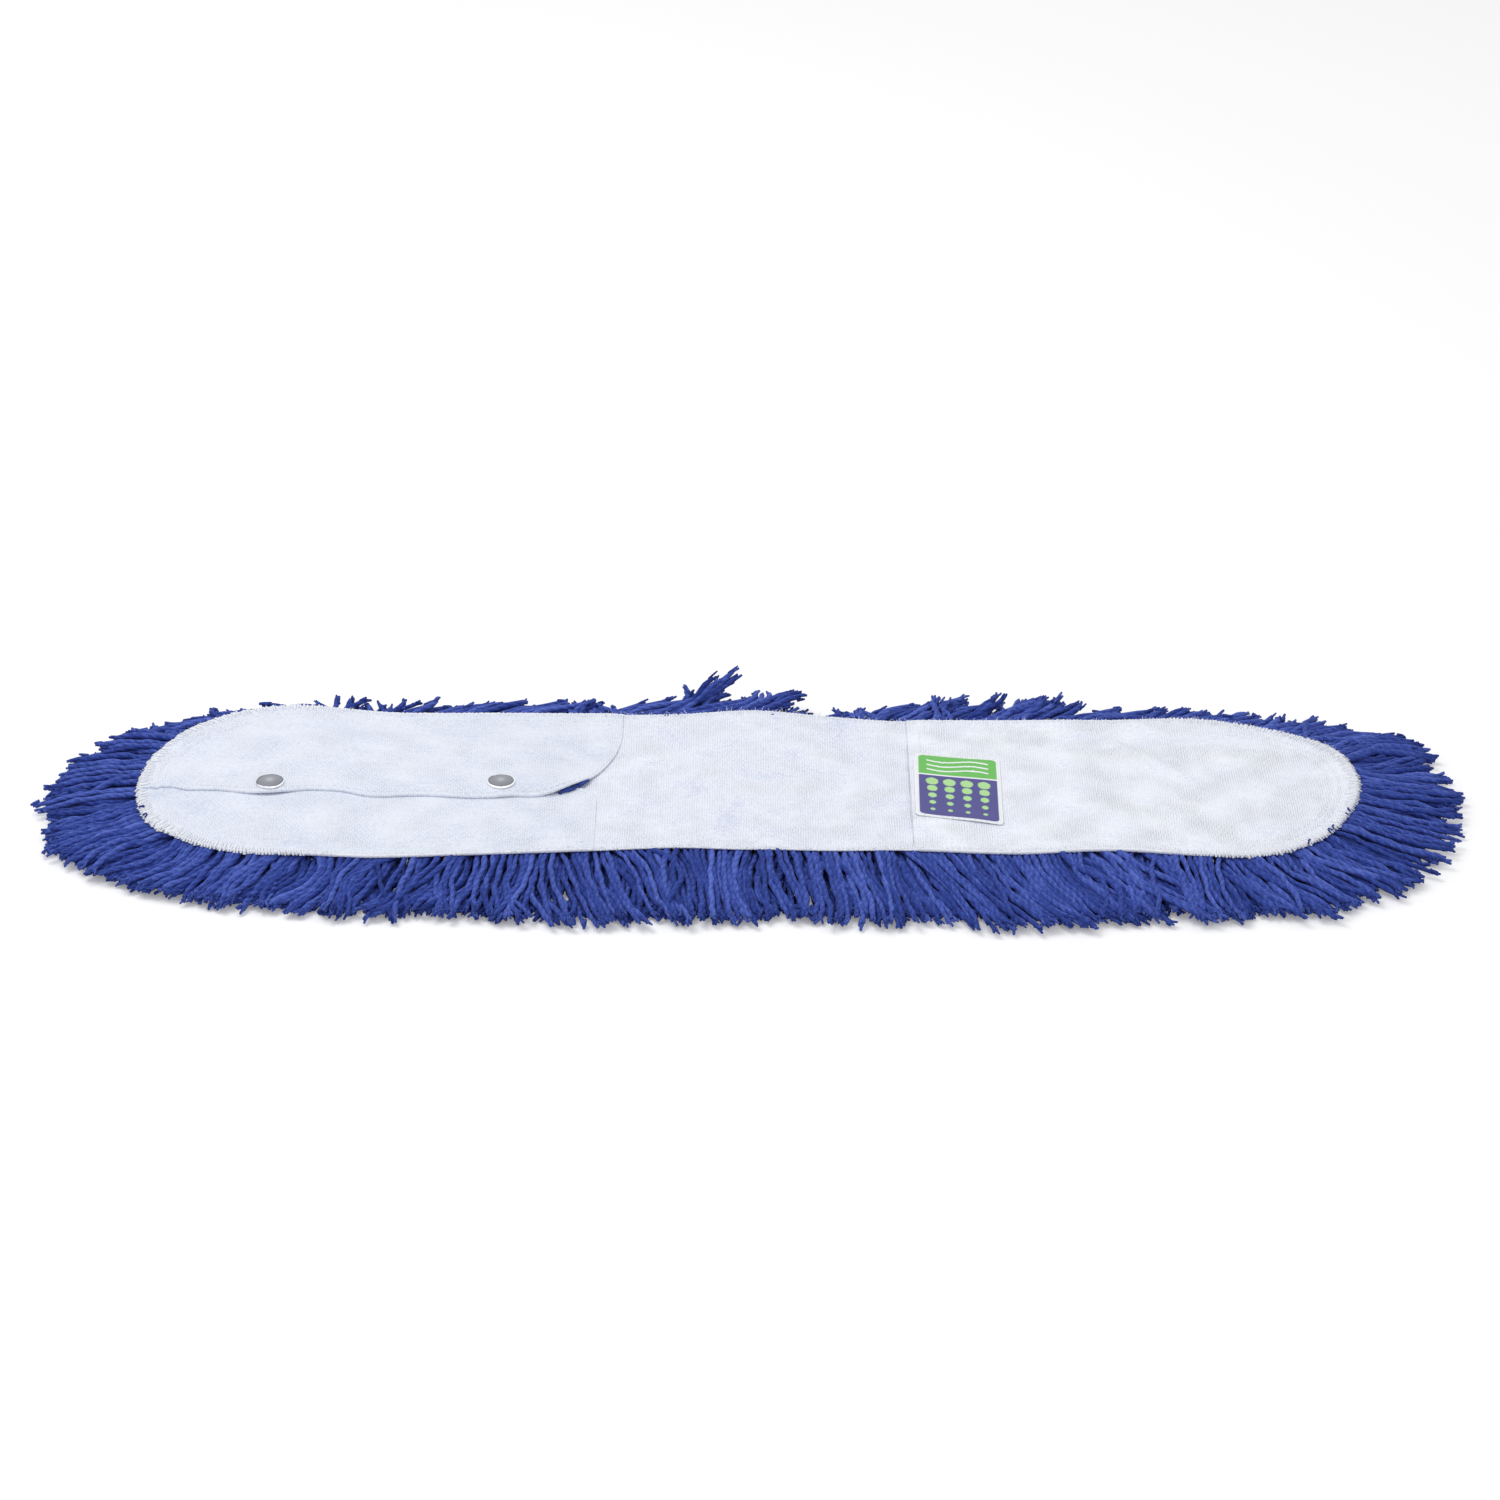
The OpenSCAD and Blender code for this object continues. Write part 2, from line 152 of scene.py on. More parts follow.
# The used canvas isn't an exact outline: it is pulled in and out along both sides, and drifts a little.
def pull(x):
    """Share of its exact width that the sleeve keeps at x."""
    return through(x, (-0.325, 1.12), (-0.3, 1.06), (-0.24, 1.03), (-0.19, 1.0), (-0.1, 0.965),
                   (-0.04, 0.945), (0.0, 0.985), (0.05, 0.94), (0.08, 0.91), (0.14, 0.93),
                   (0.19, 0.91), (0.235, 0.95), (0.29, 0.95), (0.325, 0.98))


def drift(x):
    """How far the sleeve's middle line wanders back at x."""
    return MM * through(x, (-0.325, -5.0), (-0.3, 1.0), (-0.25, 3.0), (-0.19, -3.5), (-0.14, -2.0),
                        (-0.08, 0.5), (-0.04, 2.5), (0.0, 4.0), (0.05, -1.0), (0.08, -3.0),
                        (0.14, -5.5), (0.18, -3.5), (0.235, -5.5), (0.275, -9.0), (0.3, -7.0),
                        (0.325, 1.0))


def settle(x, y):
    """Where a point of the exact plan lies on the used sleeve."""
    return x, y * pull(x) + drift(x)


def unsettle(x, y):
    return x, (y - drift(x)) / pull(x)


def mesh_object(name, verts, quads, uv=None, tone=None):
    """A mesh object of four-sided faces. uv is one pair for each vertex, tone one number."""
    mesh = bpy.data.meshes.new(name)
    mesh.vertices.add(len(verts))
    mesh.vertices.foreach_set("co", np.asarray(verts, np.float32).ravel())
    mesh.loops.add(len(quads) * 4)
    mesh.loops.foreach_set("vertex_index", np.asarray(quads, np.int32).ravel())
    mesh.polygons.add(len(quads))
    mesh.polygons.foreach_set("loop_start", np.arange(0, 4 * len(quads), 4, dtype=np.int32))
    mesh.update(calc_edges=True)
    if uv is not None:
        layer = mesh.uv_layers.new(name="UVMap")
        layer.data.foreach_set("uv", np.asarray(uv, np.float32)[np.asarray(quads).ravel()].ravel())
    if tone is not None:
        mesh.attributes.new("tone", "FLOAT", "POINT").data.foreach_set("value", np.asarray(tone, np.float32))
    mesh.shade_smooth()
    obj = bpy.data.objects.new(name, mesh)
    bpy.context.scene.collection.objects.link(obj)
    return obj


def grid_quads(columns, rows):
    """Faces of a grid whose vertices run row by row within each column."""
    i = np.arange(columns - 1)[:, None] * rows + np.arange(rows - 1)[None, :]
    i = i.ravel()
    return np.stack([i, i + rows, i + rows + 1, i + 1], 1)


MOUTH_WAY = 7 * MM                                  # a sheet is pressed down and thin this near its mouth
MOUTH_PRESS = 0.6                                   # how far it sinks there, as a share of its thickness
MOUTH_THIN = 0.3                                    # how thin it gets, as a share too


def select_only(obj):
    bpy.ops.object.select_all(action="DESELECT")
    bpy.context.view_layer.objects.active = obj
    obj.select_set(True)


def thicken(obj, thickness, mouth=None):
    """Gives a sheet its thickness, downwards from its upper face, and presses it thin along its mouth."""
    solid = obj.modifiers.new("thickness", "SOLIDIFY")
    solid.thickness = thickness
    solid.offset = -1
    solid.use_even_offset = False
    if mouth is not None:
        full = obj.vertex_groups.new(name="full thickness")
        for vertex in obj.data.vertices:
            away = abs(vertex.co.x - mouth) / MOUTH_WAY
            full.add([vertex.index], min(1.0, MOUTH_THIN + (1 - MOUTH_THIN) * away), "REPLACE")
        solid.vertex_group = full.name
    select_only(obj)
    bpy.ops.object.modifier_apply(modifier=solid.name)
    obj.select_set(False)
    obj.vertex_groups.clear()


def finish_piece(obj, material, body, slot, *nodes):
    """Gives a piece its one material and, unless it bends, its body, and hides the nodes it stands for; slot
    is not used.
    """
    obj.data.materials.clear()
    obj.data.materials.append(material)
    if body:
        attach(obj, body)
    if nodes:
        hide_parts(*nodes)


# ---- nodes of materials ----

def add_node(tree, kind, inputs=None, **settings):
    """A node with its settings, and inputs that are either values or other nodes' sockets."""
    node = tree.nodes.new("ShaderNode" + kind)
    for key, value in settings.items():
        setattr(node, key, value)
    for key, value in (inputs or {}).items():
        if isinstance(value, bpy.types.NodeSocket):
            tree.links.new(value, node.inputs[key])
        else:
            node.inputs[key].default_value = value
    return node


def math_node(tree, operation, a, b=0.0):
    return add_node(tree, "Math", {0: a, 1: b}, operation=operation).outputs[0]


def plus(tree, a, b):
    return math_node(tree, "ADD", a, b)


def times(tree, a, b):
    return math_node(tree, "MULTIPLY", a, b)


def noise(tree, place, scale, detail, roughness=0.5):
    """Soft unevenness round 0.5."""
    return add_node(tree, "TexNoise", {"Vector": place, "Scale": scale, "Detail": detail,
                                       "Roughness": roughness}).outputs["Fac"]


def map_range(tree, value, from_min, from_max, to_min, to_max, clamp=True):
    return add_node(tree, "MapRange", {"Value": value, "From Min": from_min, "From Max": from_max,
                                       "To Min": to_min, "To Max": to_max}, clamp=clamp).outputs[0]


def ramp(tree, factor, *stops):
    """A colour ramp of (place, colour) stops."""
    node = add_node(tree, "ValToRGB", {"Fac": factor})
    elements = node.color_ramp.elements
    while len(elements) < len(stops):
        elements.new(1)
    for element, (place, colour) in zip(elements, stops):
        element.position = place
        element.color = (*colour, 1)
    return node.outputs["Color"]


def coordinates(tree, kind):
    return add_node(tree, "TexCoord").outputs[kind]


def attribute(tree, name, output="Fac"):
    return add_node(tree, "Attribute", attribute_name=name).outputs[output]


def dress(tree, shader, colour, height, strength, distance):
    """Gives a material its colour and its fine relief."""
    bump = add_node(tree, "Bump", {"Height": height, "Strength": strength, "Distance": distance})
    tree.links.new(colour, shader.inputs["Base Color"])
    tree.links.new(bump.outputs[0], shader.inputs["Normal"])


def new_material(name, **sockets):
    material = bpy.data.materials.new(name)
    material.use_nodes = True
    tree = material.node_tree
    shader = tree.nodes["Principled BSDF"]
    for key, value in sockets.items():
        shader.inputs[key.replace("_", " ")].default_value = value
    return material, tree, shader


def new_group(name, inputs, outputs):
    """A shader node group whose inputs are (name, default) floats or a vector where the default is None."""
    group = bpy.data.node_groups.new(name, "ShaderNodeTree")
    for label, default in inputs:
        kind = "NodeSocketVector" if default is None else "NodeSocketFloat"
        socket = group.interface.new_socket(name=label, in_out="INPUT", socket_type=kind)
        if default is not None:
            socket.default_value = default
    for label in outputs:
        group.interface.new_socket(name=label, in_out="OUTPUT", socket_type="NodeSocketFloat")
    start = group.nodes.new("NodeGroupInput")
    end = group.nodes.new("NodeGroupOutput")
    return group, start.outputs, end.inputs


def use_group(tree, group, inputs):
    return add_node(tree, "Group", inputs, node_tree=group).outputs


# ---- camera, light, floor ----

CAMERA_TILT = math.radians(28)
CAMERA_AWAY = 2.4
CAMERA_SHIFT = (0.00067, 0.02067)
METRE_SEEN = 1.24533                                # picture widths that a metre takes up at the sleeve
SENSOR = 36
LAMP_AIM = np.zeros(3)


def set_camera():
    data = bpy.data.cameras.new("camera")
    data.sensor_width = SENSOR
    data.lens = SENSOR * METRE_SEEN * CAMERA_AWAY
    data.shift_x, data.shift_y = CAMERA_SHIFT
    data.clip_end = 50
    camera = bpy.data.objects.new("camera", data)
    camera.location = (0, -CAMERA_AWAY * math.cos(CAMERA_TILT), RIM_Z + CAMERA_AWAY * math.sin(CAMERA_TILT))
    camera.rotation_euler = (PI / 2 - CAMERA_TILT, 0, 0)
    bpy.context.scene.collection.objects.link(camera)
    bpy.context.scene.camera = camera


def soft_light(name, place, size, power):
    data = bpy.data.lights.new(name, "AREA")
    data.shape = "DISK"
    data.size = size
    data.energy = power
    light = bpy.data.objects.new(name, data)
    light.location = place
    direction = LAMP_AIM - np.array(place, float)
    pitch = math.acos(-direction[2] / np.linalg.norm(direction))
    turn = math.atan2(direction[1], direction[0]) - PI / 2
    light.rotation_euler = (pitch, 0, turn)
    bpy.context.scene.collection.objects.link(light)


def seen_rays(tree):
    """1 for the rays that see the scene or a reflection of it, and 0 for those that carry light."""
    path = add_node(tree, "LightPath").outputs
    seen = math_node(tree, "MAXIMUM", path["Is Camera Ray"], path["Is Glossy Ray"])
    return math_node(tree, "MAXIMUM", seen, path["Is Transmission Ray"])


def set_world(strength):
    world = bpy.data.worlds.new("studio")
    world.use_nodes = True
    tree = world.node_tree
    background = tree.nodes["Background"]
    background.inputs["Color"].default_value = (1, 1, 1, 1)
    tree.links.new(map_range(tree, seen_rays(tree), 0, 1, strength, 1), background.inputs["Strength"])
    bpy.context.scene.world = world


def make_floor():
    bpy.ops.mesh.primitive_plane_add(size=14)
    floor = bpy.context.active_object
    floor.name = "floor"
    floor.select_set(False)
    material = bpy.data.materials.new("floor paper")
    material.use_nodes = True
    tree = material.node_tree
    tree.nodes.remove(tree.nodes["Principled BSDF"])
    paper = add_node(tree, "BsdfDiffuse", {"Color": (0.86, 0.86, 0.87, 1)})
    glow = add_node(tree, "Emission", {"Strength": times(tree, seen_rays(tree), 0.2)})
    both = add_node(tree, "AddShader", {0: paper.outputs[0], 1: glow.outputs[0]})
    tree.links.new(both.outputs[0], tree.nodes["Material Output"].inputs["Surface"])
    floor.data.materials.append(material)


bpy.context.scene.view_settings.view_transform = "Standard"
set_camera()
set_world(0.66)
soft_light("key", (-0.9, 0.5, 1.9), 1.4, 17.2)
soft_light("fill", (0.8, -1.6, 1.2), 1.6, 5.4)
make_floor()


# ---- materials ----

def plain_weave_group():
    """Height of a plain weave: threads that pass over and under each other, with uneven tension."""
    group, given, out = new_group("plain weave", [("Vector", None), ("Pitch across", 1.0),
                                                  ("Pitch along", 1.0), ("Rib", 0.0)], ["Height"])
    waver = noise(group, given["Vector"], 90.0, 2.0)
    shift = times(group, math_node(group, "SUBTRACT", waver, 0.5), 1.6 * MM)
    split = add_node(group, "SeparateXYZ", {0: given["Vector"]}).outputs
    waves = []
    for axis, pitch in (("X", "Pitch across"), ("Y", "Pitch along")):
        turns = math_node(group, "DIVIDE", plus(group, split[axis], shift), given[pitch])
        waves.append(math_node(group, "SINE", times(group, turns, PI)))
    rib = times(group, times(group, waves[0], waves[0]), given["Rib"])
    over_under = times(group, times(group, waves[0], waves[1]), 0.5)
    group.links.new(plus(group, over_under, rib), out["Height"])
    return group


def fuzz_group():
    """Uneven height and tone of brushed fibres."""
    group, given, out = new_group("fibre fuzz", [("Vector", None), ("Scale", 900.0)], ["Height", "Tone"])
    fine = noise(group, given["Vector"], given["Scale"], 3.0, 0.65)
    broad = noise(group, given["Vector"], times(group, given["Scale"], 0.12), 2.0)
    mixed = plus(group, times(group, fine, 0.65), times(group, broad, 0.35))
    group.links.new(fine, out["Height"])
    group.links.new(map_range(group, mixed, 0.2, 0.8, 0.0, 1.0, clamp=False), out["Tone"])
    return group


WEAVE = plain_weave_group()
FUZZ = fuzz_group()


def canvas_material(name, pitch, rib, dark, light):
    """White canvas: weave, blotches from washing, a little fuzz. The pattern follows the sheet's own map."""
    material, tree, shader = new_material(name, Roughness=0.92, Sheen_Weight=0.15, Sheen_Roughness=0.5)
    place = coordinates(tree, "UV")
    weave = use_group(tree, WEAVE, {"Vector": place, "Pitch across": pitch[0], "Pitch along": pitch[1],
                                    "Rib": rib})
    fuzz = use_group(tree, FUZZ, {"Vector": place, "Scale": 420.0})
    blotch = noise(tree, place, 26.0, 5.0, 0.6)
    clearness = map_range(tree, noise(tree, place, 45.0, 3.0), 0.36, 0.66, 0.25, 2.0)
    woven = times(tree, weave["Height"], clearness)
    tone = plus(tree, times(tree, blotch, 0.47), times(tree, fuzz["Tone"], 0.55))
    tone = plus(tree, tone, times(tree, woven, 0.24))
    height = plus(tree, times(tree, woven, 0.8), times(tree, fuzz["Height"], 0.7))
    dress(tree, shader, ramp(tree, tone, (0.3, dark), (0.66, light)), height, 0.7, 0.3 * MM)
    return material


def yarn_material():
    """Twisted blue yarn. The map runs round a strand and along it, and each strand has its own tone: random,
    and darker in the lower layers as painted shade.
    """
    material, tree, shader = new_material("blue yarn", Roughness=0.9, Sheen_Weight=0.06, Sheen_Roughness=0.4,
                                          Specular_IOR_Level=0.12)
    split = add_node(tree, "SeparateXYZ", {0: coordinates(tree, "UV")}).outputs
    turns = plus(tree, times(tree, split["X"], 3.0), math_node(tree, "DIVIDE", split["Y"], 5.5 * MM))
    ply = math_node(tree, "SINE", times(tree, turns, 2 * PI))
    fuzz = use_group(tree, FUZZ, {"Vector": coordinates(tree, "Object"), "Scale": 700.0})
    # The tone attribute carries painted shade: strands in lower layers are darker.
    tone = plus(tree, times(tree, attribute(tree, "tone"), 0.5), times(tree, fuzz["Tone"], 0.5))
    tone = plus(tree, tone, times(tree, ply, 0.06))
    colour = ramp(tree, tone, (0.15, (0.013, 0.03, 0.185)), (0.48, (0.037, 0.069, 0.335)),
                  (0.8, (0.11, 0.17, 0.6)))
    dress(tree, shader, colour, plus(tree, times(tree, ply, 0.45), fuzz["Height"]), 0.7, 0.45 * MM)
    return material


def thread_material():
    material, tree, shader = new_material("white sewing thread", Roughness=0.7, Sheen_Weight=0.2)
    fuzz = use_group(tree, FUZZ, {"Vector": coordinates(tree, "Object"), "Scale": 1400.0})
    colour = ramp(tree, fuzz["Tone"], (0.3, (0.79, 0.82, 0.89)), (0.7, (0.9, 0.92, 0.97)))
    dress(tree, shader, colour, fuzz["Height"], 0.5, 0.2 * MM)
    return material


def cap_material():
    """A press stud's cap: a grey dome painted lighter at its middle as a painted highlight, a groove round
    it painted near black as painted shade, and a smoother rolled rim painted near white as a painted
    highlight.
    """
    material, tree, shader = new_material("nickel cap with painted light", Metallic=1.0)
    haze = noise(tree, coordinates(tree, "Object"), 120.0, 2.0)
    out = attribute(tree, "tone")
    spread = times(tree, math_node(tree, "SUBTRACT", haze, 0.5), 0.3)
    # Painted light: a painted highlight at the dome's middle, painted shade in the groove, a painted
    # highlight all round the rim.
    colour = ramp(tree, plus(tree, out, spread), (0.0, (0.5, 0.51, 0.55)), (0.4, (0.3, 0.31, 0.35)),
                  (0.86, (0.24, 0.25, 0.29)), (0.91, (0.05, 0.05, 0.06)), (0.95, (0.95, 0.96, 0.97)))
    tree.links.new(colour, shader.inputs["Base Color"])
    tree.links.new(map_range(tree, out, 0.86, 0.92, 0.25, 0.12), shader.inputs["Roughness"])
    return material


def nickel_material():
    """Nickel plate with fine rubbing marks and a faint haze."""
    material, tree, shader = new_material("nickel plate", Metallic=1.0)
    place = coordinates(tree, "Object")
    haze = noise(tree, place, 240.0, 4.0)
    colour = ramp(tree, haze, (0.3, (0.5, 0.51, 0.53)), (0.7, (0.66, 0.67, 0.69)))
    tree.links.new(map_range(tree, haze, 0, 1, 0.16, 0.34), shader.inputs["Roughness"])
    dress(tree, shader, colour, noise(tree, place, 1600.0, 2.0), 0.12, 0.05 * MM)
    return material


def label_material():
    """Printed label: the sheet's own colour attribute carries the design, the weave lies over it."""
    material, tree, shader = new_material("printed label", Roughness=0.6, Sheen_Weight=0.1)
    place = coordinates(tree, "UV")
    weave = use_group(tree, WEAVE, {"Vector": place, "Pitch across": 0.35 * MM, "Pitch along": 0.35 * MM})
    worn = map_range(tree, noise(tree, place, 160.0, 3.0), 0, 1, 0.9, 1.06)
    mixed = add_node(tree, "VectorMath", {0: attribute(tree, "design", "Color"), "Scale": worn},
                     operation="SCALE")
    dress(tree, shader, mixed.outputs[0], weave["Height"], 0.3, 0.1 * MM)
    return material


flap_canvas = canvas_material("flap canvas", (1.3 * MM, 1.9 * MM), 0.7,
                              (0.58, 0.64, 0.785), (0.81, 0.85, 0.945))
ribbed_canvas = canvas_material("ribbed canvas", (1.3 * MM, 2.6 * MM), 1.5,
                                (0.66, 0.705, 0.875), (0.9, 0.925, 1.0))
base_canvas = canvas_material("base canvas", (1.3 * MM, 2.6 * MM), 1.2,
                              (0.58, 0.635, 0.8), (0.86, 0.89, 0.98))
tape_canvas = canvas_material("heading tape", (1.1 * MM, 1.1 * MM), 0.6,
                              (0.56, 0.61, 0.73), (0.73, 0.77, 0.85))
yarn = yarn_material()
thread = thread_material()
nickel = nickel_material()
cap_nickel = cap_material()
label_print = label_material()


# ---- canvas ----

BASE_STEP, SLIP_STEP, FLAP_STEP = 2 * MM, 1.6 * MM, 1.5 * MM      # spacing of each sheet's points
TIP = END_R * (1 - 0.9999)                          # the sheets stop this far from the round ends' tips
CLOSER_FROM = 25 * MM                               # columns stand closer from this distance to a tip
CLOSEST = 0.12                                      # down to this share of their spacing
REAR_CORNER = 56 * MM                               # length of the rear flap's round corner
REAR_CORNER_DEPTH = 80 * MM
FRONT_CORNER = 20 * MM
ROLL_START, ROLL_END = -0.5 * MM, 5 * MM            # the flaps roll over between these two, past their folds
ROLL_LINES = 8
PUCKER = 6.3 * MM                                   # length of one pucker along a seam
SNUG = 0.15 * MM                                    # room between two sheets that lie on each other
CREASE_X, CREASE_Y = 217 * MM, 23 * MM              # middle of the crease across the slip pocket
CREASE_WAY = (0.78, 0.63)                           # the way across it, in plan
CREASE_HIGH = 2.6 * MM


def seam_dent(x, y):
    """The two rows of stitching pull the layers together and pucker the canvas along them."""
    d = inset(x, y)
    round_end = END_R * np.arctan2(np.abs(x) - END_X, np.abs(y))
    along = np.where(np.abs(x) < END_X, x, np.sign(x) * END_X + round_end)
    puckers = 1 + 0.3 * np.sin(along * 2 * PI / PUCKER)
    deep = (0.45 + 0.3 * smooth(END_X - 40 * MM, END_X, np.abs(x))) * MM * puckers
    dent = 0
    for seam in (SEAM_OUTER, SEAM_INNER):
        dent = dent - deep * np.exp(-((d - seam) / (1.3 * MM)) ** 2)
    between = smooth(0, 3 * MM, d) * (1 - smooth(20 * MM, 30 * MM, d))
    return dent + 0.35 * MM * between * ripple(x, y, 14 * MM, 5)


def seen_base(x):
    """1 where the base lies open between the two pockets, with soft ends."""
    past_rear = smooth(REAR_MOUTH - 30 * MM, REAR_MOUTH - 5 * MM, x)
    return past_rear * (1 - smooth(SLIP_MOUTH, SLIP_MOUTH + 30 * MM, x))


def base_height(x, y):
    d = inset(x, y)
    depth = (RIM_Z - FLOOR_Z) * (1 - 0.55 * seen_base(x))
    waves = 0.4 * MM * ripple(x, y, 90 * MM, 11) * smooth(0, 15 * MM, d)
    return RIM_Z - depth * smooth(SEAM_INNER, 48 * MM, d) + seam_dent(x, y) + waves


def on_base(x, y):
    """Top of the base without its puckers, for the sheets that are laid on it."""
    return base_height(x, y) - seam_dent(x, y)


def pressed(inside):
    """How far a sheet's upper face sinks, at a distance inside its mouth."""
    return MOUTH_PRESS * CLOTH_T * smooth(MOUTH_WAY, 0, inside)


def slip_height(x, y):
    d = inset(x, y)
    open_height = slip_hi.z - RIM_Z - CLOTH_T
    puff = open_height * smooth(SEAM_INNER, 45 * MM, d)
    puff = puff * smooth(SLIP_MOUTH - 10 * MM, SLIP_MOUTH + 90 * MM, x)
    across = (x - CREASE_X) * CREASE_WAY[0] + (y - CREASE_Y) * CREASE_WAY[1]
    along = (x - CREASE_X) * CREASE_WAY[1] - (y - CREASE_Y) * CREASE_WAY[0]
    crease = np.exp(-(across / (4 * MM)) ** 2) - 0.6 * np.exp(-((across - 9 * MM) / (6 * MM)) ** 2)
    crease = CREASE_HIGH * crease * np.exp(-(along / (30 * MM)) ** 2) * smooth(14 * MM, 30 * MM, d)
    waves = 0.6 * MM * ripple(x, y, 55 * MM, 21) * smooth(5 * MM, 25 * MM, d)
    waves = waves * smooth(0, 60 * MM, x - SLIP_MOUTH)
    resting = np.maximum(RIM_Z + CLOTH_T + puff + waves, on_base(x, y) + CLOTH_T + SNUG)
    return resting + crease + seam_dent(x, y) - pressed(x - SLIP_MOUTH)


def cap_near(x, y, reach):
    """1 at a press stud and 0 a little way off."""
    near = 0
    for cap in (CAP_LEFT, CAP_RIGHT):
        at = unsettle(*cap)
        r = np.hypot(x - at[0], y - at[1])
        near = np.maximum(near, 1 - smooth(CAP_R * 0.9, CAP_R + reach, r))
    return near


def front_height(x, y):
    d = inset(x, y)
    low = RIM_Z + CLOTH_T
    rise = (front_hi.z + 0.2 * MM - low) * smooth(SEAM_INNER, 40 * MM, d)
    sag = np.minimum(0.9 * MM * ripple(x, y, 80 * MM, 31) * smooth(10 * MM, 40 * MM, d), 0.2 * MM)
    to_mouth = smooth(FRONT_MOUTH - 60 * MM, FRONT_MOUTH - 4 * MM, x)
    laid = on_base(x, y) + CLOTH_T + SNUG - pressed(FRONT_MOUTH - x)
    free = (low + rise + sag) * (1 - to_mouth) + laid * to_mouth
    near = cap_near(x, y, 10 * MM)
    return (free + seam_dent(x, y)) * (1 - near) + front_hi.z * near


def rear_height(x, y):
    """The rear flap rests on the front one along its free edge, and on the base at its mouth."""
    d = inset(x, y)
    low = RIM_Z + 2 * CLOTH_T
    rise = (rear_hi.z - low) * smooth(SEAM_INNER, 52 * MM, d)
    waves = 0.6 * MM * ripple(x, y, 75 * MM, 41) * smooth(10 * MM, 40 * MM, d)
    resting = front_height(x, y) + CLOTH_T + SNUG
    droop = (1 - smooth(0, 17 * MM, y - REAR_EDGE - rear_wave(x))) * smooth(8 * MM, 25 * MM, d)
    corner = np.hypot(x - (REAR_MOUTH - 20 * MM), y - (REAR_EDGE + 14 * MM))
    lift = 0.5 * MM * (1 - smooth(2 * MM, 26 * MM, corner))
    to_mouth = smooth(REAR_MOUTH - 75 * MM, REAR_MOUTH - 4 * MM, x) * smooth(-38 * MM, 12 * MM, y)
    layers = 1 + smooth(FRONT_EDGE + 6 * MM, FRONT_EDGE, y)
    laid = on_base(x, y) + 0.2 * MM + CLOTH_T * layers - pressed(REAR_MOUTH - x)
    free = (low + rise + waves) * (1 - droop) + resting * droop
    free = free * (1 - to_mouth) + laid * to_mouth + lift
    near = cap_near(x, y, 8 * MM)
    return (free + seam_dent(x, y)) * (1 - near) + rear_hi.z * near


def half_width(x):
    past = np.clip(np.abs(x) - END_X, 0, END_R - TIP)
    return np.sqrt(END_R ** 2 - past ** 2)


def front_side(x):
    return -half_width(x)


def rear_wave(x):
    """How far the rear flap's free edge wanders back from its straight line."""
    return MM * through(x, (-0.325, 19), (-0.311, 17.5), (-0.3, 10), (-0.28, 5), (-0.257, 0.3),
                        (-0.232, 6), (-0.219, 7.2), (-0.2, 3), (-0.175, 4.5), (-0.137, -0.3),
                        (-0.12, 2.5), (-0.1, 3.2))


def rear_low(x):
    """The rear flap's free edge: a wavy line that ends in a round corner."""
    past = np.clip(x - (REAR_MOUTH - REAR_CORNER), 0, REAR_CORNER * 0.9995)
    corner = REAR_CORNER_DEPTH * (1 - np.sqrt(1 - (past / REAR_CORNER) ** 2))
    return np.maximum(REAR_EDGE + 1 * MM + rear_wave(x) + corner, front_side(x))


def front_high(x):
    past = np.clip(x - (FRONT_MOUTH - FRONT_CORNER), 0, FRONT_CORNER * 0.9995)
    corner = FRONT_CORNER - np.sqrt(FRONT_CORNER ** 2 - past ** 2)
    return np.minimum(FRONT_EDGE - corner, half_width(x))


def columns_between(start, end, step):
    """Columns of a sheet, closer together where they run out on a round end."""
    xs = [start]
    while xs[-1] < end - 1e-9:
        past = abs(xs[-1]) - END_X
        room = max(END_R - max(past, 0), 0.02 * MM)
        near = min(1, math.sqrt(room / CLOSER_FROM))
        xs.append(min(xs[-1] + step * max(near, CLOSEST), end))
    return np.array(xs)


def flap_columns(mouth, corner):
    """Columns of a flap, closer together towards its round corner at the mouth."""
    plain = columns_between(-base_hi.x + TIP, mouth - corner, FLAP_STEP)
    turn = np.linspace(0, PI / 2, 34)[1:]
    return np.concatenate([plain, mouth - corner + corner * np.sin(turn)])


def sheet_mesh(name, flat_x, flat_y, x, y, z):
    """A sheet from grids of its points: where they are on the flat cloth, and where they lie."""
    uv = np.stack([flat_x, flat_y], -1).reshape(-1, 2)
    return mesh_object(name, np.stack([x, y, z], -1).reshape(-1, 3), grid_quads(*x.shape), uv)


def beside_fold(flap, away):
    """A point at a distance past a flap's fold, and the way across the fold to the moving side."""
    joint = next(j for j in frame["joints"] if j["name"] == flap + "_fold")
    across = np.array([-joint["axis"][1], joint["axis"][0]])
    return np.array(joint["pos_m"][:2]) + across * away, across


def crease_lines(obj, flap):
    """Cuts the mesh along lines parallel to a fold, so that it rolls over cleanly there."""
    select_only(obj)
    bpy.ops.object.mode_set(mode="EDIT")
    for away in np.linspace(ROLL_START, ROLL_END, ROLL_LINES):
        at, across = beside_fold(flap, away)
        bpy.ops.mesh.select_all(action="SELECT")
        bpy.ops.mesh.bisect(plane_co=(*at, 0), plane_no=(*across, 0))
    bpy.ops.object.mode_set(mode="OBJECT")
    obj.select_set(False)


def bend(obj):
    """Bakes a piece's transform into its mesh."""
    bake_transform(obj)


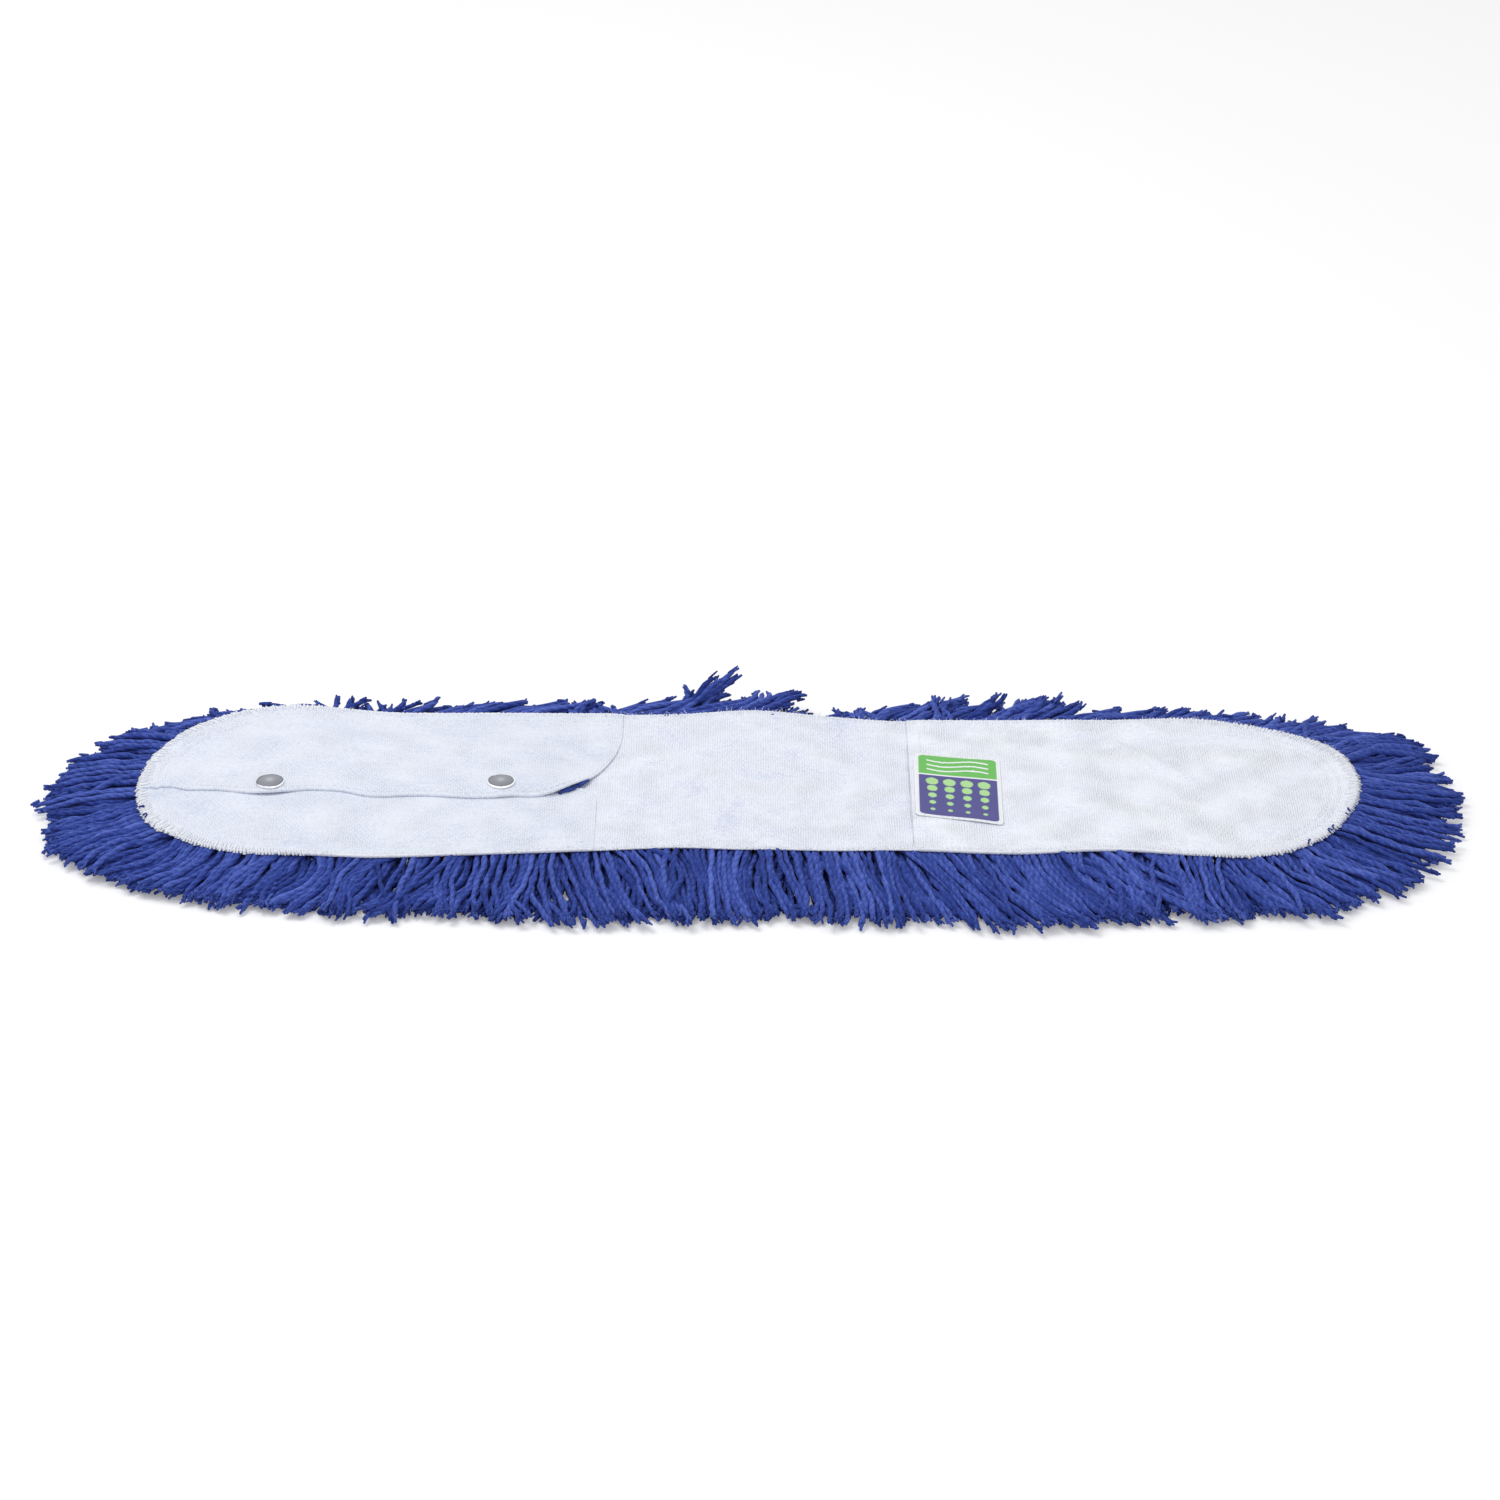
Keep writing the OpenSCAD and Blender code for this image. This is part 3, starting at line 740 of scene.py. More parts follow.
def canvas_piece(name, columns, low, high, step, height, material, nodes, mouth=None,
                 flap=None):
    """A canvas sheet whose column at x runs from low(x) to high(x) in the exact plan."""
    bottom, top = low(columns), high(columns)
    rows = max(int(np.max(top - bottom) / step), 4) + 1
    x = np.repeat(columns[:, None], rows, 1)
    y = bottom[:, None] + (top - bottom)[:, None] * np.linspace(0, 1, rows)
    obj = sheet_mesh(name, x, y, *settle(x, y), height(x, y))
    thicken(obj, CLOTH_T, mouth)
    finish_piece(obj, material, None if flap else "sleeve", "canvas", *nodes)
    if flap:
        crease_lines(obj, flap)
        bend(obj)


def make_canvas():
    canvas_piece("canvas_base", columns_between(-base_hi.x + TIP, base_hi.x - TIP, BASE_STEP), front_side,
                 half_width, BASE_STEP, base_height, base_canvas, ("base_cloth", "base_border"))
    canvas_piece("slip_pocket_cloth", columns_between(SLIP_MOUTH, base_hi.x - TIP, SLIP_STEP), front_side,
                 half_width, SLIP_STEP, slip_height, ribbed_canvas, ("slip_pocket",),
                 mouth=SLIP_MOUTH)
    canvas_piece("rear_flap_cloth", flap_columns(REAR_MOUTH, REAR_CORNER), rear_low, half_width, FLAP_STEP,
                 rear_height, flap_canvas, ("rear_flap", "rear_flap_sewn"),
                 mouth=REAR_MOUTH, flap="rear_flap")
    canvas_piece("front_flap_cloth", flap_columns(FRONT_MOUTH, FRONT_CORNER), front_side, front_high,
                 FLAP_STEP, front_height, flap_canvas, ("front_flap", "front_flap_sewn"),
                 mouth=FRONT_MOUTH, flap="front_flap")


make_canvas()

# ---- strands and stitches ----

def tubes(paths, radii, sides, tones):
    """Round strands for join_parts. paths is (strands, points, 3), radii is (strands, points)."""
    paths = np.asarray(paths, float)
    count, points, _ = paths.shape
    along = np.gradient(paths, axis=1)
    along /= np.linalg.norm(along, axis=2, keepdims=True) + 1e-12
    up = np.array([0.0, 0.0, 1.0])
    side = np.cross(along, up)
    side /= np.linalg.norm(side, axis=2, keepdims=True) + 1e-12
    top = np.cross(side, along)
    turn = np.arange(sides) * 2 * PI / sides
    ring = (side[:, :, None, :] * np.cos(turn)[None, None, :, None]
            + top[:, :, None, :] * np.sin(turn)[None, None, :, None])
    verts = (paths[:, :, None, :] + ring * np.asarray(radii)[:, :, None, None]).reshape(-1, 3)
    steps = np.linalg.norm(np.diff(paths, axis=1), axis=2)
    run = np.concatenate([np.zeros((count, 1)), np.cumsum(steps, 1)], 1)
    uv = np.stack([np.broadcast_to(turn / (2 * PI), (count, points, sides)),
                   np.broadcast_to(run[:, :, None], (count, points, sides))], -1).reshape(-1, 2)
    per = points * sides
    a = (np.arange(points - 1)[:, None] * sides + np.arange(sides)[None, :]).ravel()
    b = (np.arange(points - 1)[:, None] * sides + (np.arange(sides)[None, :] + 1) % sides).ravel()
    wall = np.stack([a, b, b + sides, a + sides], 1)
    ends = []
    for k in range(sides // 2 - 1):
        corner = [0, 2 * k + 1, 2 * k + 2, 2 * k + 3]
        ends.append(corner[::-1])
        ends.append([c + per - sides for c in corner])
    one = np.concatenate([wall, np.array(ends)])
    quads = (one[None] + np.arange(count)[:, None, None] * per).reshape(-1, 4)
    return verts, quads, uv, np.repeat(tones, per)


def join_parts(name, parts):
    verts, quads, uvs, tones = zip(*parts)
    firsts = np.cumsum([0] + [len(v) for v in verts[:-1]])
    quads = [q + first for q, first in zip(quads, firsts)]
    return mesh_object(name, *(np.concatenate(each) for each in (verts, quads, uvs, tones)))


ARC = PI * END_R                                    # length of a round end's edge
FRONT_END = 2 * END_X                               # where each stretch of the edge ends, along it
RIGHT_END = FRONT_END + ARC
BACK_END = RIGHT_END + FRONT_END
EDGE_LENGTH = BACK_END + ARC


def on_edge(s):
    """Point of the canvas's edge at a distance s along it from the front left, and its outward direction."""
    s = np.mod(s, EDGE_LENGTH)
    right = np.clip((s - FRONT_END) / END_R, 0, PI) - PI / 2
    left = np.clip((s - BACK_END) / END_R, 0, PI) + PI / 2
    stretch = [s < FRONT_END, s < RIGHT_END, s < BACK_END]
    angle = np.select(stretch, [-PI / 2, right, PI / 2], left)
    centre = np.select(stretch, [s - END_X, END_X, END_X - (s - RIGHT_END)], -END_X)
    out = np.stack([np.cos(angle), np.sin(angle)], -1)
    return np.stack([centre, np.zeros_like(centre)], -1) + END_R * out, out


def along_edge(out):
    return np.stack([-out[:, 1], out[:, 0]], -1)


YARN_R = 1.6 * MM
YARN_PITCH = 3.3 * MM
YARN_TWIST = 15 * MM                                # length of one turn of a strand's slight spiral
BED_R = 1.4 * MM
BED_PITCH = 17 * MM
BED_ROW = 4.6 * MM
BED_LEVEL = 5.6 * MM                                # height at which the lower strands of the bed start
STRAND_POINTS = 11
STRAND_SIDES = 6
PLIES = 4                                           # they spread at a strand's cut end
LOCK_SIZE = (4, 9)                                  # strands that hold together
MOST_LEAN = 1.05
UNRULY_SHARE = 0.06                                 # of the top layer's strands, that lie across the others
OVERLAP = 6 * MM                                    # the runs of fringe pass each other a little
ROOT_IN = 7 * MM                                    # how far the yarn runs in under the canvas
LAYER_DROP = 2.1 * MM
UNDER_REACH = 1.3                                   # the lowest layer fills the space under the others
END_SHARE = 0.93                                    # the visible strands stop short of the fullest lock


def partings_push(s, partings):
    """Strands on the two sides of a parting lean away from each other, so that a slit opens between them."""
    push = np.zeros_like(s)
    for at, wide in partings:
        away = s - at
        push += np.sign(away) * wide * np.exp(-np.abs(away) / (5 * MM))
    return push


def one_layer(rng, start, end, depth, layers, reach, lean, loose, lift, thin, partings):
    """(paths, radii, tones) of one layer of cut yarn. depth 0 is the top layer."""
    count = int((end - start) / YARN_PITCH)
    s = start + (np.arange(count) + 0.5) * YARN_PITCH + rng.normal(0, 0.5 * MM, count)
    s = s[rng.uniform(0, 1, count) < thin(s)]
    count = len(s)
    lock = np.cumsum(rng.uniform(0, 1, count) < 1 / rng.uniform(*LOCK_SIZE, count))
    locks = lock[-1] + 1

    def of_lock(spread):
        return rng.normal(0, spread, locks)[lock]

    centre = np.array([s[lock == k].mean() if np.any(lock == k) else 0 for k in range(locks)])[lock]
    gather = rng.uniform(0.05, 0.45, locks)[lock]
    curl = 1 + 3 * max(loose - 0.15, 0)
    bow = of_lock(4 * MM) + rng.normal(0, 0.9 * MM * curl, count)
    sway = curl * of_lock(2.4 * MM) + rng.normal(0, 0.7 * MM * curl, count)
    phase = rng.uniform(0, 2 * PI, locks)[lock]
    own_lean = lean(s) + of_lock(0.11 + 0.16 * loose) + rng.normal(0, 0.05, count)
    own_lean = np.clip(own_lean, -MOST_LEAN, MOST_LEAN)
    unruly = (rng.uniform(0, 1, count) < UNRULY_SHARE) & (depth == 0) & (loose < 0.5)
    own_lean = np.where(unruly, np.clip(own_lean + rng.normal(0, 0.3, count), -0.9, 0.9), own_lean)
    bow = bow + np.where(unruly, rng.normal(0, 5 * MM, count), 0)
    uneven = 0.98 + of_lock(0.03 + 0.1 * loose) + rng.normal(0, 0.025 + 0.05 * loose, count)
    full = reach(s) * (1 - 0.07 * depth) * uneven
    full = full * np.where(unruly, 0.95 * np.cos(own_lean) / np.cos(lean(s)), 1)
    t = np.linspace(0, 1, STRAND_POINTS)[None, :]
    out = -ROOT_IN + (full + ROOT_IN)[:, None] * t
    side = (full * np.tan(own_lean))[:, None] * t ** 1.25
    side = side + bow[:, None] * np.sin(PI * t) + sway[:, None] * np.sin(2 * PI * t + phase[:, None]) * t
    side = side + (centre - s)[:, None] * gather[:, None] * np.sin(PI * np.clip(t * 0.8, 0, 1)) ** 1.2
    side = side + partings_push(s, partings)[:, None] * t ** 2
    turns = (full / YARN_TWIST)[:, None] * t + rng.uniform(0, 1, count)[:, None]
    side = side + 0.5 * MM * np.sin(2 * PI * turns)
    root_z = tape_lo.z - YARN_R - depth * LAYER_DROP
    tip_z = YARN_R + (0.3 + 0.9 * rng.uniform(0, 1, count)) * MM * (layers - depth) * 0.6
    fall = t ** 1.7
    z = root_z * (1 - fall) + tip_z[:, None] * fall
    crest = (1.5 if depth == 0 else 0.7) * MM
    z = z + crest * np.sin(PI * np.clip(t / 0.36, 0, 1))
    z = z + 0.35 * MM * np.cos(2 * PI * turns) * np.sin(PI * t)
    z = z + (of_lock(0.8 * MM) + rng.normal(0, 0.55 * MM, count))[:, None] * np.sin(PI * t)
    z = z + np.where(unruly, 1.6 * MM, 0)[:, None] * np.sin(PI * t)
    if depth < 2:
        z = z + (lift(s) + loose * np.abs(of_lock(4 * MM)))[:, None] * t ** 2
    z = np.maximum(z, YARN_R)
    point, direction = on_edge(s)
    tangent = along_edge(direction)
    plan = point[:, None] + direction[:, None] * out[..., None] + tangent[:, None] * side[..., None]
    plan = plan + (np.stack(settle(*point.T), -1) - point)[:, None]
    paths = np.concatenate([plan, z[..., None]], -1)
    radii = YARN_R * rng.uniform(0.78, 1.12, count)[:, None] * (1 + 0.1 * np.cos(2 * PI * turns))
    radii[:, -1] *= 0.8
    # Tones differ at random, and each lower layer is darker as painted shade.
    tones = np.clip(rng.normal(0.6 - 0.15 * depth, 0.17, count), 0, 1)
    return paths, radii, tones


def frayed_ends(rng, paths, tones):
    """Blunt plies that spread at the cut end of each strand."""
    count = len(paths)
    ending = paths[:, -1] - paths[:, -2]
    ending /= np.linalg.norm(ending, axis=1, keepdims=True)
    steps = np.array([-0.8, 0.3, 1.0])[None, :, None]
    parts = []
    for _ in range(PLIES):
        length = rng.uniform(1.5, 4.2, count) * MM
        heading = ending + rng.normal(0, 0.3, (count, 3)) * np.array([1, 1, 0.6])
        heading /= np.linalg.norm(heading, axis=1, keepdims=True)
        offset = rng.normal(0, 0.65 * MM, (count, 3))
        path = (paths[:, -1] + offset)[:, None, :] + heading[:, None, :] * length[:, None, None] * steps
        path[:, :, 2] = np.maximum(path[:, :, 2], 1.0 * MM)
        radii = np.array([0.9, 0.95, 0.7])[None, :] * MM * rng.uniform(0.8, 1.1, count)[:, None]
        parts.append(tubes(path, radii, 4, tones))
    return parts


def always(s):
    return np.ones_like(s)


def never(s):
    return np.zeros_like(s)


def fringe(name, start, end, layers, reach, lean, seed, loose=0.15, lift=never, thin=always, partings=()):
    """Cut yarn along the edge from start to end. reach, lean, lift and thin are functions of the place."""
    rng = np.random.default_rng(seed)
    parts = []
    for depth in reversed(range(layers)):
        paths, radii, tones = one_layer(rng, start, end, depth, layers, reach, lean, loose, lift, thin,
                                        partings)
        parts.append(tubes(paths, radii, STRAND_SIDES, tones))
        parts += frayed_ends(rng, paths, tones)
    # A lowest layer fills the space under the others; its tones are the darkest, as painted shade.
    paths, radii, tones = one_layer(rng, start, end, layers, layers + 1, lambda s: UNDER_REACH * reach(s),
                                    lean, 0, never, thin, ())
    parts.append(tubes(paths, radii, STRAND_SIDES, tones))
    finish_piece(join_parts("fringe_" + name, parts), yarn, "sleeve", "yarn", "yarn_" + name)


def front_x(s):
    return s - END_X


def front_reach(s):
    return SIDE_REACH * through(front_x(s), (-0.26, 0.66), (-0.23, 0.64), (-0.19, 0.78), (-0.15, 0.83),
                                (-0.1, 1.05), (-0.05, 1.03), (0.0, 1.04), (0.019, 0.93), (0.035, 1.05),
                                (0.09, 1.1), (0.13, 1.06), (0.16, 1.0), (0.2, 0.93), (0.24, 0.85))


def front_lean(s):
    return through(front_x(s), (-0.26, -0.5), (-0.2, -0.45), (-0.15, -0.35), (-0.12, -0.1), (-0.07, 0.3),
                   (-0.02, 0.15), (0.03, 0.2), (0.1, 0.45), (0.2, 0.5), (0.26, 0.45))


def back_x(s):
    return END_X - (s - RIGHT_END)


def back_reach(s):
    return SIDE_REACH * through(back_x(s), (-0.25, 0.34), (-0.2, 0.46), (-0.1, 0.48), (-0.06, 0.55),
                                (-0.042, 0.42), (-0.018, 0.52), (0.0, 0.3), (0.016, 0.12), (0.045, 0.25),
                                (0.07, 0.58), (0.11, 0.66), (0.15, 0.52), (0.22, 0.36), (0.25, 0.28))


def back_lean(s):
    return -through(back_x(s), (-0.26, -0.7), (-0.235, 0.0), (-0.2, 0.8), (0.0, 0.85), (0.1, 0.75),
                    (0.25, 0.9))


def bumps(x, *places):
    """Soft bumps, each given by its (place, half width in millimetres, height)."""
    return sum(height * np.exp(-((x - at) / (width * MM)) ** 2) for at, width, height in places)


def back_thin(s):
    """Share of the strands that are left: the back fringe has gaps."""
    gaps = bumps(back_x(s), (-0.242, 8, 1), (-0.205, 7, 1), (-0.09, 3, 1), (0.022, 13, 1), (0.16, 5, 1),
                 (0.187, 5, 1), (0.218, 4, 1))
    return np.clip(1 - 0.95 * gaps, 0, 1)


def back_lift(s):
    """Tufts of the back fringe stand up a little."""
    tufts = bumps(back_x(s), (-0.063, 5, 17), (-0.016, 7, 3.5), (0.1, 9, 7), (0.13, 7, 4))
    return MM * (tufts + 1.2)


def end_turn(s, start):
    return (s - start) / ARC


def end_reach(u):
    return SIDE_REACH + (END_REACH * END_SHARE - SIDE_REACH) * np.sin(PI * np.clip(u, 0, 1)) ** 0.5


def right_reach(s):
    u = end_turn(s, FRONT_END)
    return end_reach(u) - 28 * MM * smooth(0.62, 1, u) - 9 * MM * (1 - smooth(0, 0.25, u))


def right_lean(s):
    u = end_turn(s, FRONT_END)
    return through(u, (0, 0.45), (0.25, 0.12), (0.5, 0.0), (0.75, -0.3), (1.0, -0.8))


def left_reach(s):
    u = end_turn(s, BACK_END)
    return end_reach(u) - 2 * MM - 38 * MM * (1 - smooth(0, 0.48, u)) - 18 * MM * smooth(0.6, 1, u)


def left_lean(s):
    u = end_turn(s, BACK_END)
    return through(u, (0, 0.75), (0.25, 0.4), (0.5, 0.0), (0.75, -0.1), (1.0, -0.45))


def make_fringe():
    right = ((0.13, 1.2), (0.29, 1.5), (0.41, 3.4), (0.55, 1.5), (0.63, 2.4), (0.8, 1.5))
    fringe("front", -OVERLAP, FRONT_END + OVERLAP, 5, front_reach, front_lean, 101,
           partings=[(END_X + x, 0.9 * MM) for x in (-0.235, -0.148, 0.019, 0.15)])
    fringe("right", FRONT_END, RIGHT_END, 6, right_reach, right_lean, 102,
           partings=[(FRONT_END + ARC * u, wide * MM) for u, wide in right])
    fringe("back", RIGHT_END - OVERLAP, BACK_END + OVERLAP, 6, back_reach, back_lean, 103,
           loose=0.6, lift=back_lift, thin=back_thin)
    fringe("left", BACK_END, EDGE_LENGTH, 6, left_reach, left_lean, 104,
           partings=[(BACK_END + ARC * u, 1.5 * MM) for u in (0.22, 0.4, 0.52, 0.7, 0.86)])


def make_yarn_bed():
    """Rows of cut yarn under the base, pressed flat against each other."""
    rng = np.random.default_rng(201)
    lo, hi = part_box("yarn_underside")
    t = np.linspace(0, 1, 6)[None, :]
    rows = int((hi.y - lo.y) / BED_ROW)
    parts = []
    for z_top, way, fall in ((hi.z - BED_R, 0, 0.55), (BED_LEVEL, PI, 1)):
        for row in range(rows):
            y0 = lo.y + (row + 0.5) * (hi.y - lo.y) / rows
            half = END_X + math.sqrt(max((hi.y + 1 * MM) ** 2 - y0 ** 2, 0))
            count = int(2 * half / BED_PITCH)
            x0 = -half + (np.arange(count) + 0.5) * BED_PITCH + rng.normal(0, 3 * MM, count)
            length = rng.uniform(26, 34, count)
            heading = rng.normal(0, 0.3, count) + way
            reach = (length * MM)[:, None] * t
            sway = 1.5 * MM * np.sin(PI * t * 2 + rng.uniform(0, 6, count)[:, None])
            x = np.clip(x0[:, None] + np.cos(heading)[:, None] * reach, -half - 2 * MM, half + 2 * MM)
            y = np.clip(y0 + np.sin(heading)[:, None] * reach + sway, lo.y, hi.y)
            z = np.maximum(z_top + (BED_R - z_top) * t ** 0.8 * fall, BED_R)
            paths = np.stack(np.broadcast_arrays(x, y, z), -1)
            tones = np.clip(rng.normal(0.5, 0.2, count), 0, 1)
            parts.append(tubes(paths, np.full((count, 6), BED_R), STRAND_SIDES, tones))
    finish_piece(join_parts("yarn_bed", parts), yarn, "sleeve", "yarn", "yarn_underside")


make_fringe()
make_yarn_bed()


def make_tape():
    """The heading tape that holds the fringe, a flat band hidden just inside the canvas's edge."""
    count = 640
    s = np.arange(count) * EDGE_LENGTH / count
    point, out = on_edge(s)
    outer, inner = 2.5 * MM - (tape_hi.x - base_hi.x), 14 * MM
    away = np.array([outer, inner, inner, outer])
    rings = []
    for inwards, z in zip(away, (tape_hi.z, tape_hi.z, tape_lo.z, tape_lo.z)):
        rings.append(np.stack([*settle(*(point - out * inwards).T), np.full(count, z)], -1))
    i = np.arange(count)[:, None] * 4
    n = (np.arange(count)[:, None] + 1) % count * 4
    k = np.arange(4)[None, :]
    quads = np.stack([i + k, i + (k + 1) % 4, n + (k + 1) % 4, n + k], -1).reshape(-1, 4)
    uv = np.stack([np.repeat(s, 4), np.tile(away, count)], -1)
    obj = mesh_object("heading_tape", np.stack(rings, 1).reshape(-1, 3), quads, uv)
    finish_piece(obj, tape_canvas, "sleeve", "tape", "fringe_tape")


make_tape()


# ---- sewing ----

STITCH = 2.9 * MM
STITCH_GAP = 0.9 * MM
STITCH_R = 0.24 * MM
STITCH_RISE = 0.22 * MM
HEM = 4 * MM


def stitches(name, points, surface, radius=STITCH_R, rise=STITCH_RISE, place=settle):
    """Short stitches from each point to the next. points is (stitches, 2, 2) in plan."""
    t = np.array([0.0, 0.22, 0.5, 0.78, 1.0])
    a, b = points[:, 0], points[:, 1]
    x = a[:, None, 0] + (b - a)[:, None, 0] * t
    y = a[:, None, 1] + (b - a)[:, None, 1] * t
    z = surface(x, y) + (np.sin(PI * t) * 1.5 - 0.5).clip(-0.5, 0.7)[None, :] * rise
    x, y = place(x, y)
    width = radius * np.array([0.6, 1, 1, 1, 0.6])[None, :] * np.ones((len(points), 1))
    tones = np.random.default_rng(len(points)).uniform(0, 1, len(points))
    return join_parts(name, [tubes(np.stack([x, y, z], -1), width, 4, tones)])


def top_height(x, y):
    """The upper face of whatever canvas lies on top at a point of the exact plan."""
    z = base_height(x, y)
    z = np.where(x > SLIP_MOUTH, slip_height(x, y), z)
    z = np.where((x < FRONT_MOUTH) & (y < FRONT_EDGE), front_height(x, y), z)
    return np.where((x < REAR_MOUTH) & (y > rear_low(x)), rear_height(x, y), z)


def run_of(points, length=STITCH, gap=STITCH_GAP):
    """Cuts a finely sampled line into stitches of a length with gaps between them."""
    steps = np.linalg.norm(np.diff(points, axis=0), axis=1)
    run = np.concatenate([[0], np.cumsum(steps)])
    starts = np.arange(0, run[-1] - length, length + gap)

    def at(distance):
        return np.stack([np.interp(distance, run, points[:, k]) for k in (0, 1)], -1)

    return np.stack([at(starts), at(starts + length)], 1)


def make_seams():
    point, out = on_edge(np.linspace(0, EDGE_LENGTH, 3000))
    rows = [run_of(point - out * seam) for seam in (SEAM_OUTER, SEAM_INNER)]
    obj = stitches("perimeter_stitches", np.concatenate(rows), top_height)
    finish_piece(obj, thread, "sleeve", "thread", "perimeter_seams")


def make_hem_stitches():
    """Hem seams along the slip pocket's mouth, but for the label, and along the flaps' free edges."""
    y = np.linspace(-END_R + SEAM_INNER, END_R - SEAM_INNER, 400)
    line = np.stack([np.full_like(y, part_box("pocket_hem_stitching")[0].x), y], -1)
    beside_label = np.abs(y - LABEL_Y) > LABEL_L / 2 * math.cos(LABEL_TURN) + 1 * MM
    rows = [run_of(line[beside_label & side]) for side in (y < LABEL_Y, y > LABEL_Y)]
    obj = stitches("slip_pocket_hem_stitches", np.concatenate(rows), slip_height)
    finish_piece(obj, thread, "sleeve", "thread", "pocket_hem_stitching")

    for flap, mouth, edge, inwards, height in (("rear_flap", REAR_MOUTH, rear_low, HEM, rear_height),
                                               ("front_flap", FRONT_MOUTH, front_high, -HEM, front_height)):
        x = np.linspace(-END_X - END_R * 0.6, mouth - HEM, 1500)
        line = np.stack([x, edge(x) + inwards], -1)
        obj = stitches(flap + "_stitches", run_of(line[inset(*line.T) > SEAM_INNER]), height)
        finish_piece(obj, thread, None, "thread", flap + "_stitching")
        bend(obj)


OVERLOCK_PITCH = 1.9 * MM
LOOSE_FIBRES = 3600                                 # tried all round; few are kept away from the ends
WORN_FROM = END_X - 30 * MM                         # past this the edge is worn
UNDER_EDGE = RIM_Z - CLOTH_T                        # underside of the base at its edge


def edge_roll():
    """The soft roll of thread that the overlock makes of the edge."""
    rings = 1100
    s = np.arange(rings + 1) * EDGE_LENGTH / rings
    point, out = on_edge(s)
    top = top_height(*point.T) + 0.15 * MM
    wobble = 1 + 0.12 * np.sin(s * 2 * PI / (2.4 * MM)) + 0.1 * ripple(s, 0 * s, 9 * MM, 71)
    roll = np.stack([*settle(*(point - out * 0.3 * MM).T), (top + UNDER_EDGE) / 2], -1)[None]
    return tubes(roll, ((top - UNDER_EDGE) / 2 * wobble)[None], 8, np.array([0.5]))


def edge_loops(rng):
    """Loops of thread that bite into the canvas and wrap round its edge."""
    count = int(EDGE_LENGTH / OVERLOCK_PITCH)
    point, out = on_edge(np.arange(count) * OVERLOCK_PITCH)
    worn = smooth(WORN_FROM, END_X, np.abs(point[:, 0]))
    bite = 4.2 * MM + rng.normal(0, 0.6 * MM, count) * (0.6 + worn)
    over = (0.5 + 0.7 * worn) * MM + np.abs(rng.normal(0, 0.5 * MM, count)) * (0.3 + worn)
    t = np.linspace(0, 1, 6)
    to_edge = np.clip(t / 0.6, 0, 1)
    back = np.clip((t - 0.6) / 0.4, 0, 1)
    away = -bite[:, None] * (1 - to_edge) + over[:, None] * (to_edge - back) - 0.4 * bite[:, None] * back
    slant = 1.5 * MM * (t - 0.3)[None, :] + rng.normal(0, 0.3 * MM, count)[:, None]
    plan = point[:, None] + out[:, None] * away[..., None] + along_edge(out)[:, None] * slant[..., None]
    inside = point[:, None] + out[:, None] * np.minimum(away, 0)[..., None]
    share = np.where(t < 0.5, 1.0, np.where(t < 0.7, 0.5, 0.0))
    z = top_height(inside[..., 0], inside[..., 1]) * share + UNDER_EDGE * (1 - share)
    z = z + np.array([0.05, 0.3, 0.35, 0.1, 0.0, 0.1]) * MM
    x, y = settle(plan[..., 0], plan[..., 1])
    thickness = 0.7 + 0.45 * worn * rng.uniform(0.6, 1.3, count)
    radius = np.array([0.3, 0.5, 0.55, 0.6, 0.5, 0.4]) * MM * thickness[:, None]
    return tubes(np.stack([x, y, z], -1), radius, 6, rng.uniform(0, 1, count))


def edge_fibres(rng):
    """Loose fibres that stand out of the worn edge."""
    point, out = on_edge(rng.uniform(0, EDGE_LENGTH, LOOSE_FIBRES))
    worn = np.abs(point[:, 0]) > WORN_FROM
    kept = worn | (rng.uniform(0, 1, LOOSE_FIBRES) < 0.2)
    point, out = point[kept], out[kept]
    count = len(point)
    plan = point + out * rng.uniform(-1.5, 1.0, count)[:, None] * MM
    root = np.stack([*settle(*plan.T), RIM_Z + rng.uniform(0, 1, count) * MM], -1)
    heading = np.concatenate([out + rng.normal(0, 0.8, (count, 2)), rng.uniform(0.1, 1.1, (count, 1))], -1)
    heading *= (rng.uniform(0.8, 2.2, count) * MM / np.linalg.norm(heading, axis=1))[:, None]
    curl = rng.normal(0, 0.5 * MM, (count, 3))
    path = root[:, None] + heading[:, None] * np.array([0, 0.5, 1.0])[None, :, None]
    path = path + curl[:, None] * np.array([0, 0.3, 1.0])[None, :, None]
    radius = np.broadcast_to(np.array([0.12, 0.1, 0.05]) * MM, (count, 3))
    return tubes(path, radius, 4, rng.uniform(0, 1, count))


def make_overlock():
    rng = np.random.default_rng(301)
    parts = [edge_roll(), edge_loops(rng), edge_fibres(rng)]
    finish_piece(join_parts("overlock_stitches", parts), thread, "sleeve", "thread", "edge_overlock")


# ---- label ----

LABEL_TURN = math.radians(-1)
LABEL_SKEW = 0.21
LABEL_CORNER = 3 * MM
LABEL_BORDER = 2.4 * MM
LABEL_SHIFT = 1.5 * MM                              # it is sewn on a little further left and back


def label_plan(u, v):
    """From the label's own middle, u along it and v across it, to the exact plan."""
    v = v - LABEL_SKEW * u
    x = LABEL_X - LABEL_SHIFT + u * math.cos(LABEL_TURN) - v * math.sin(LABEL_TURN)
    y = LABEL_Y + LABEL_SHIFT + u * math.sin(LABEL_TURN) + v * math.cos(LABEL_TURN)
    return x, y


def label_height(u, v):
    x, y = label_plan(u, v)
    flat = slip_height(x, y)
    loose = 0.7 * MM * smooth(-LABEL_L / 2 + 16 * MM, -LABEL_L / 2, v) * (0.6 + 0.4 * np.sin(u / (7 * MM)))
    return flat + LABEL_T + 0.1 * MM + loose


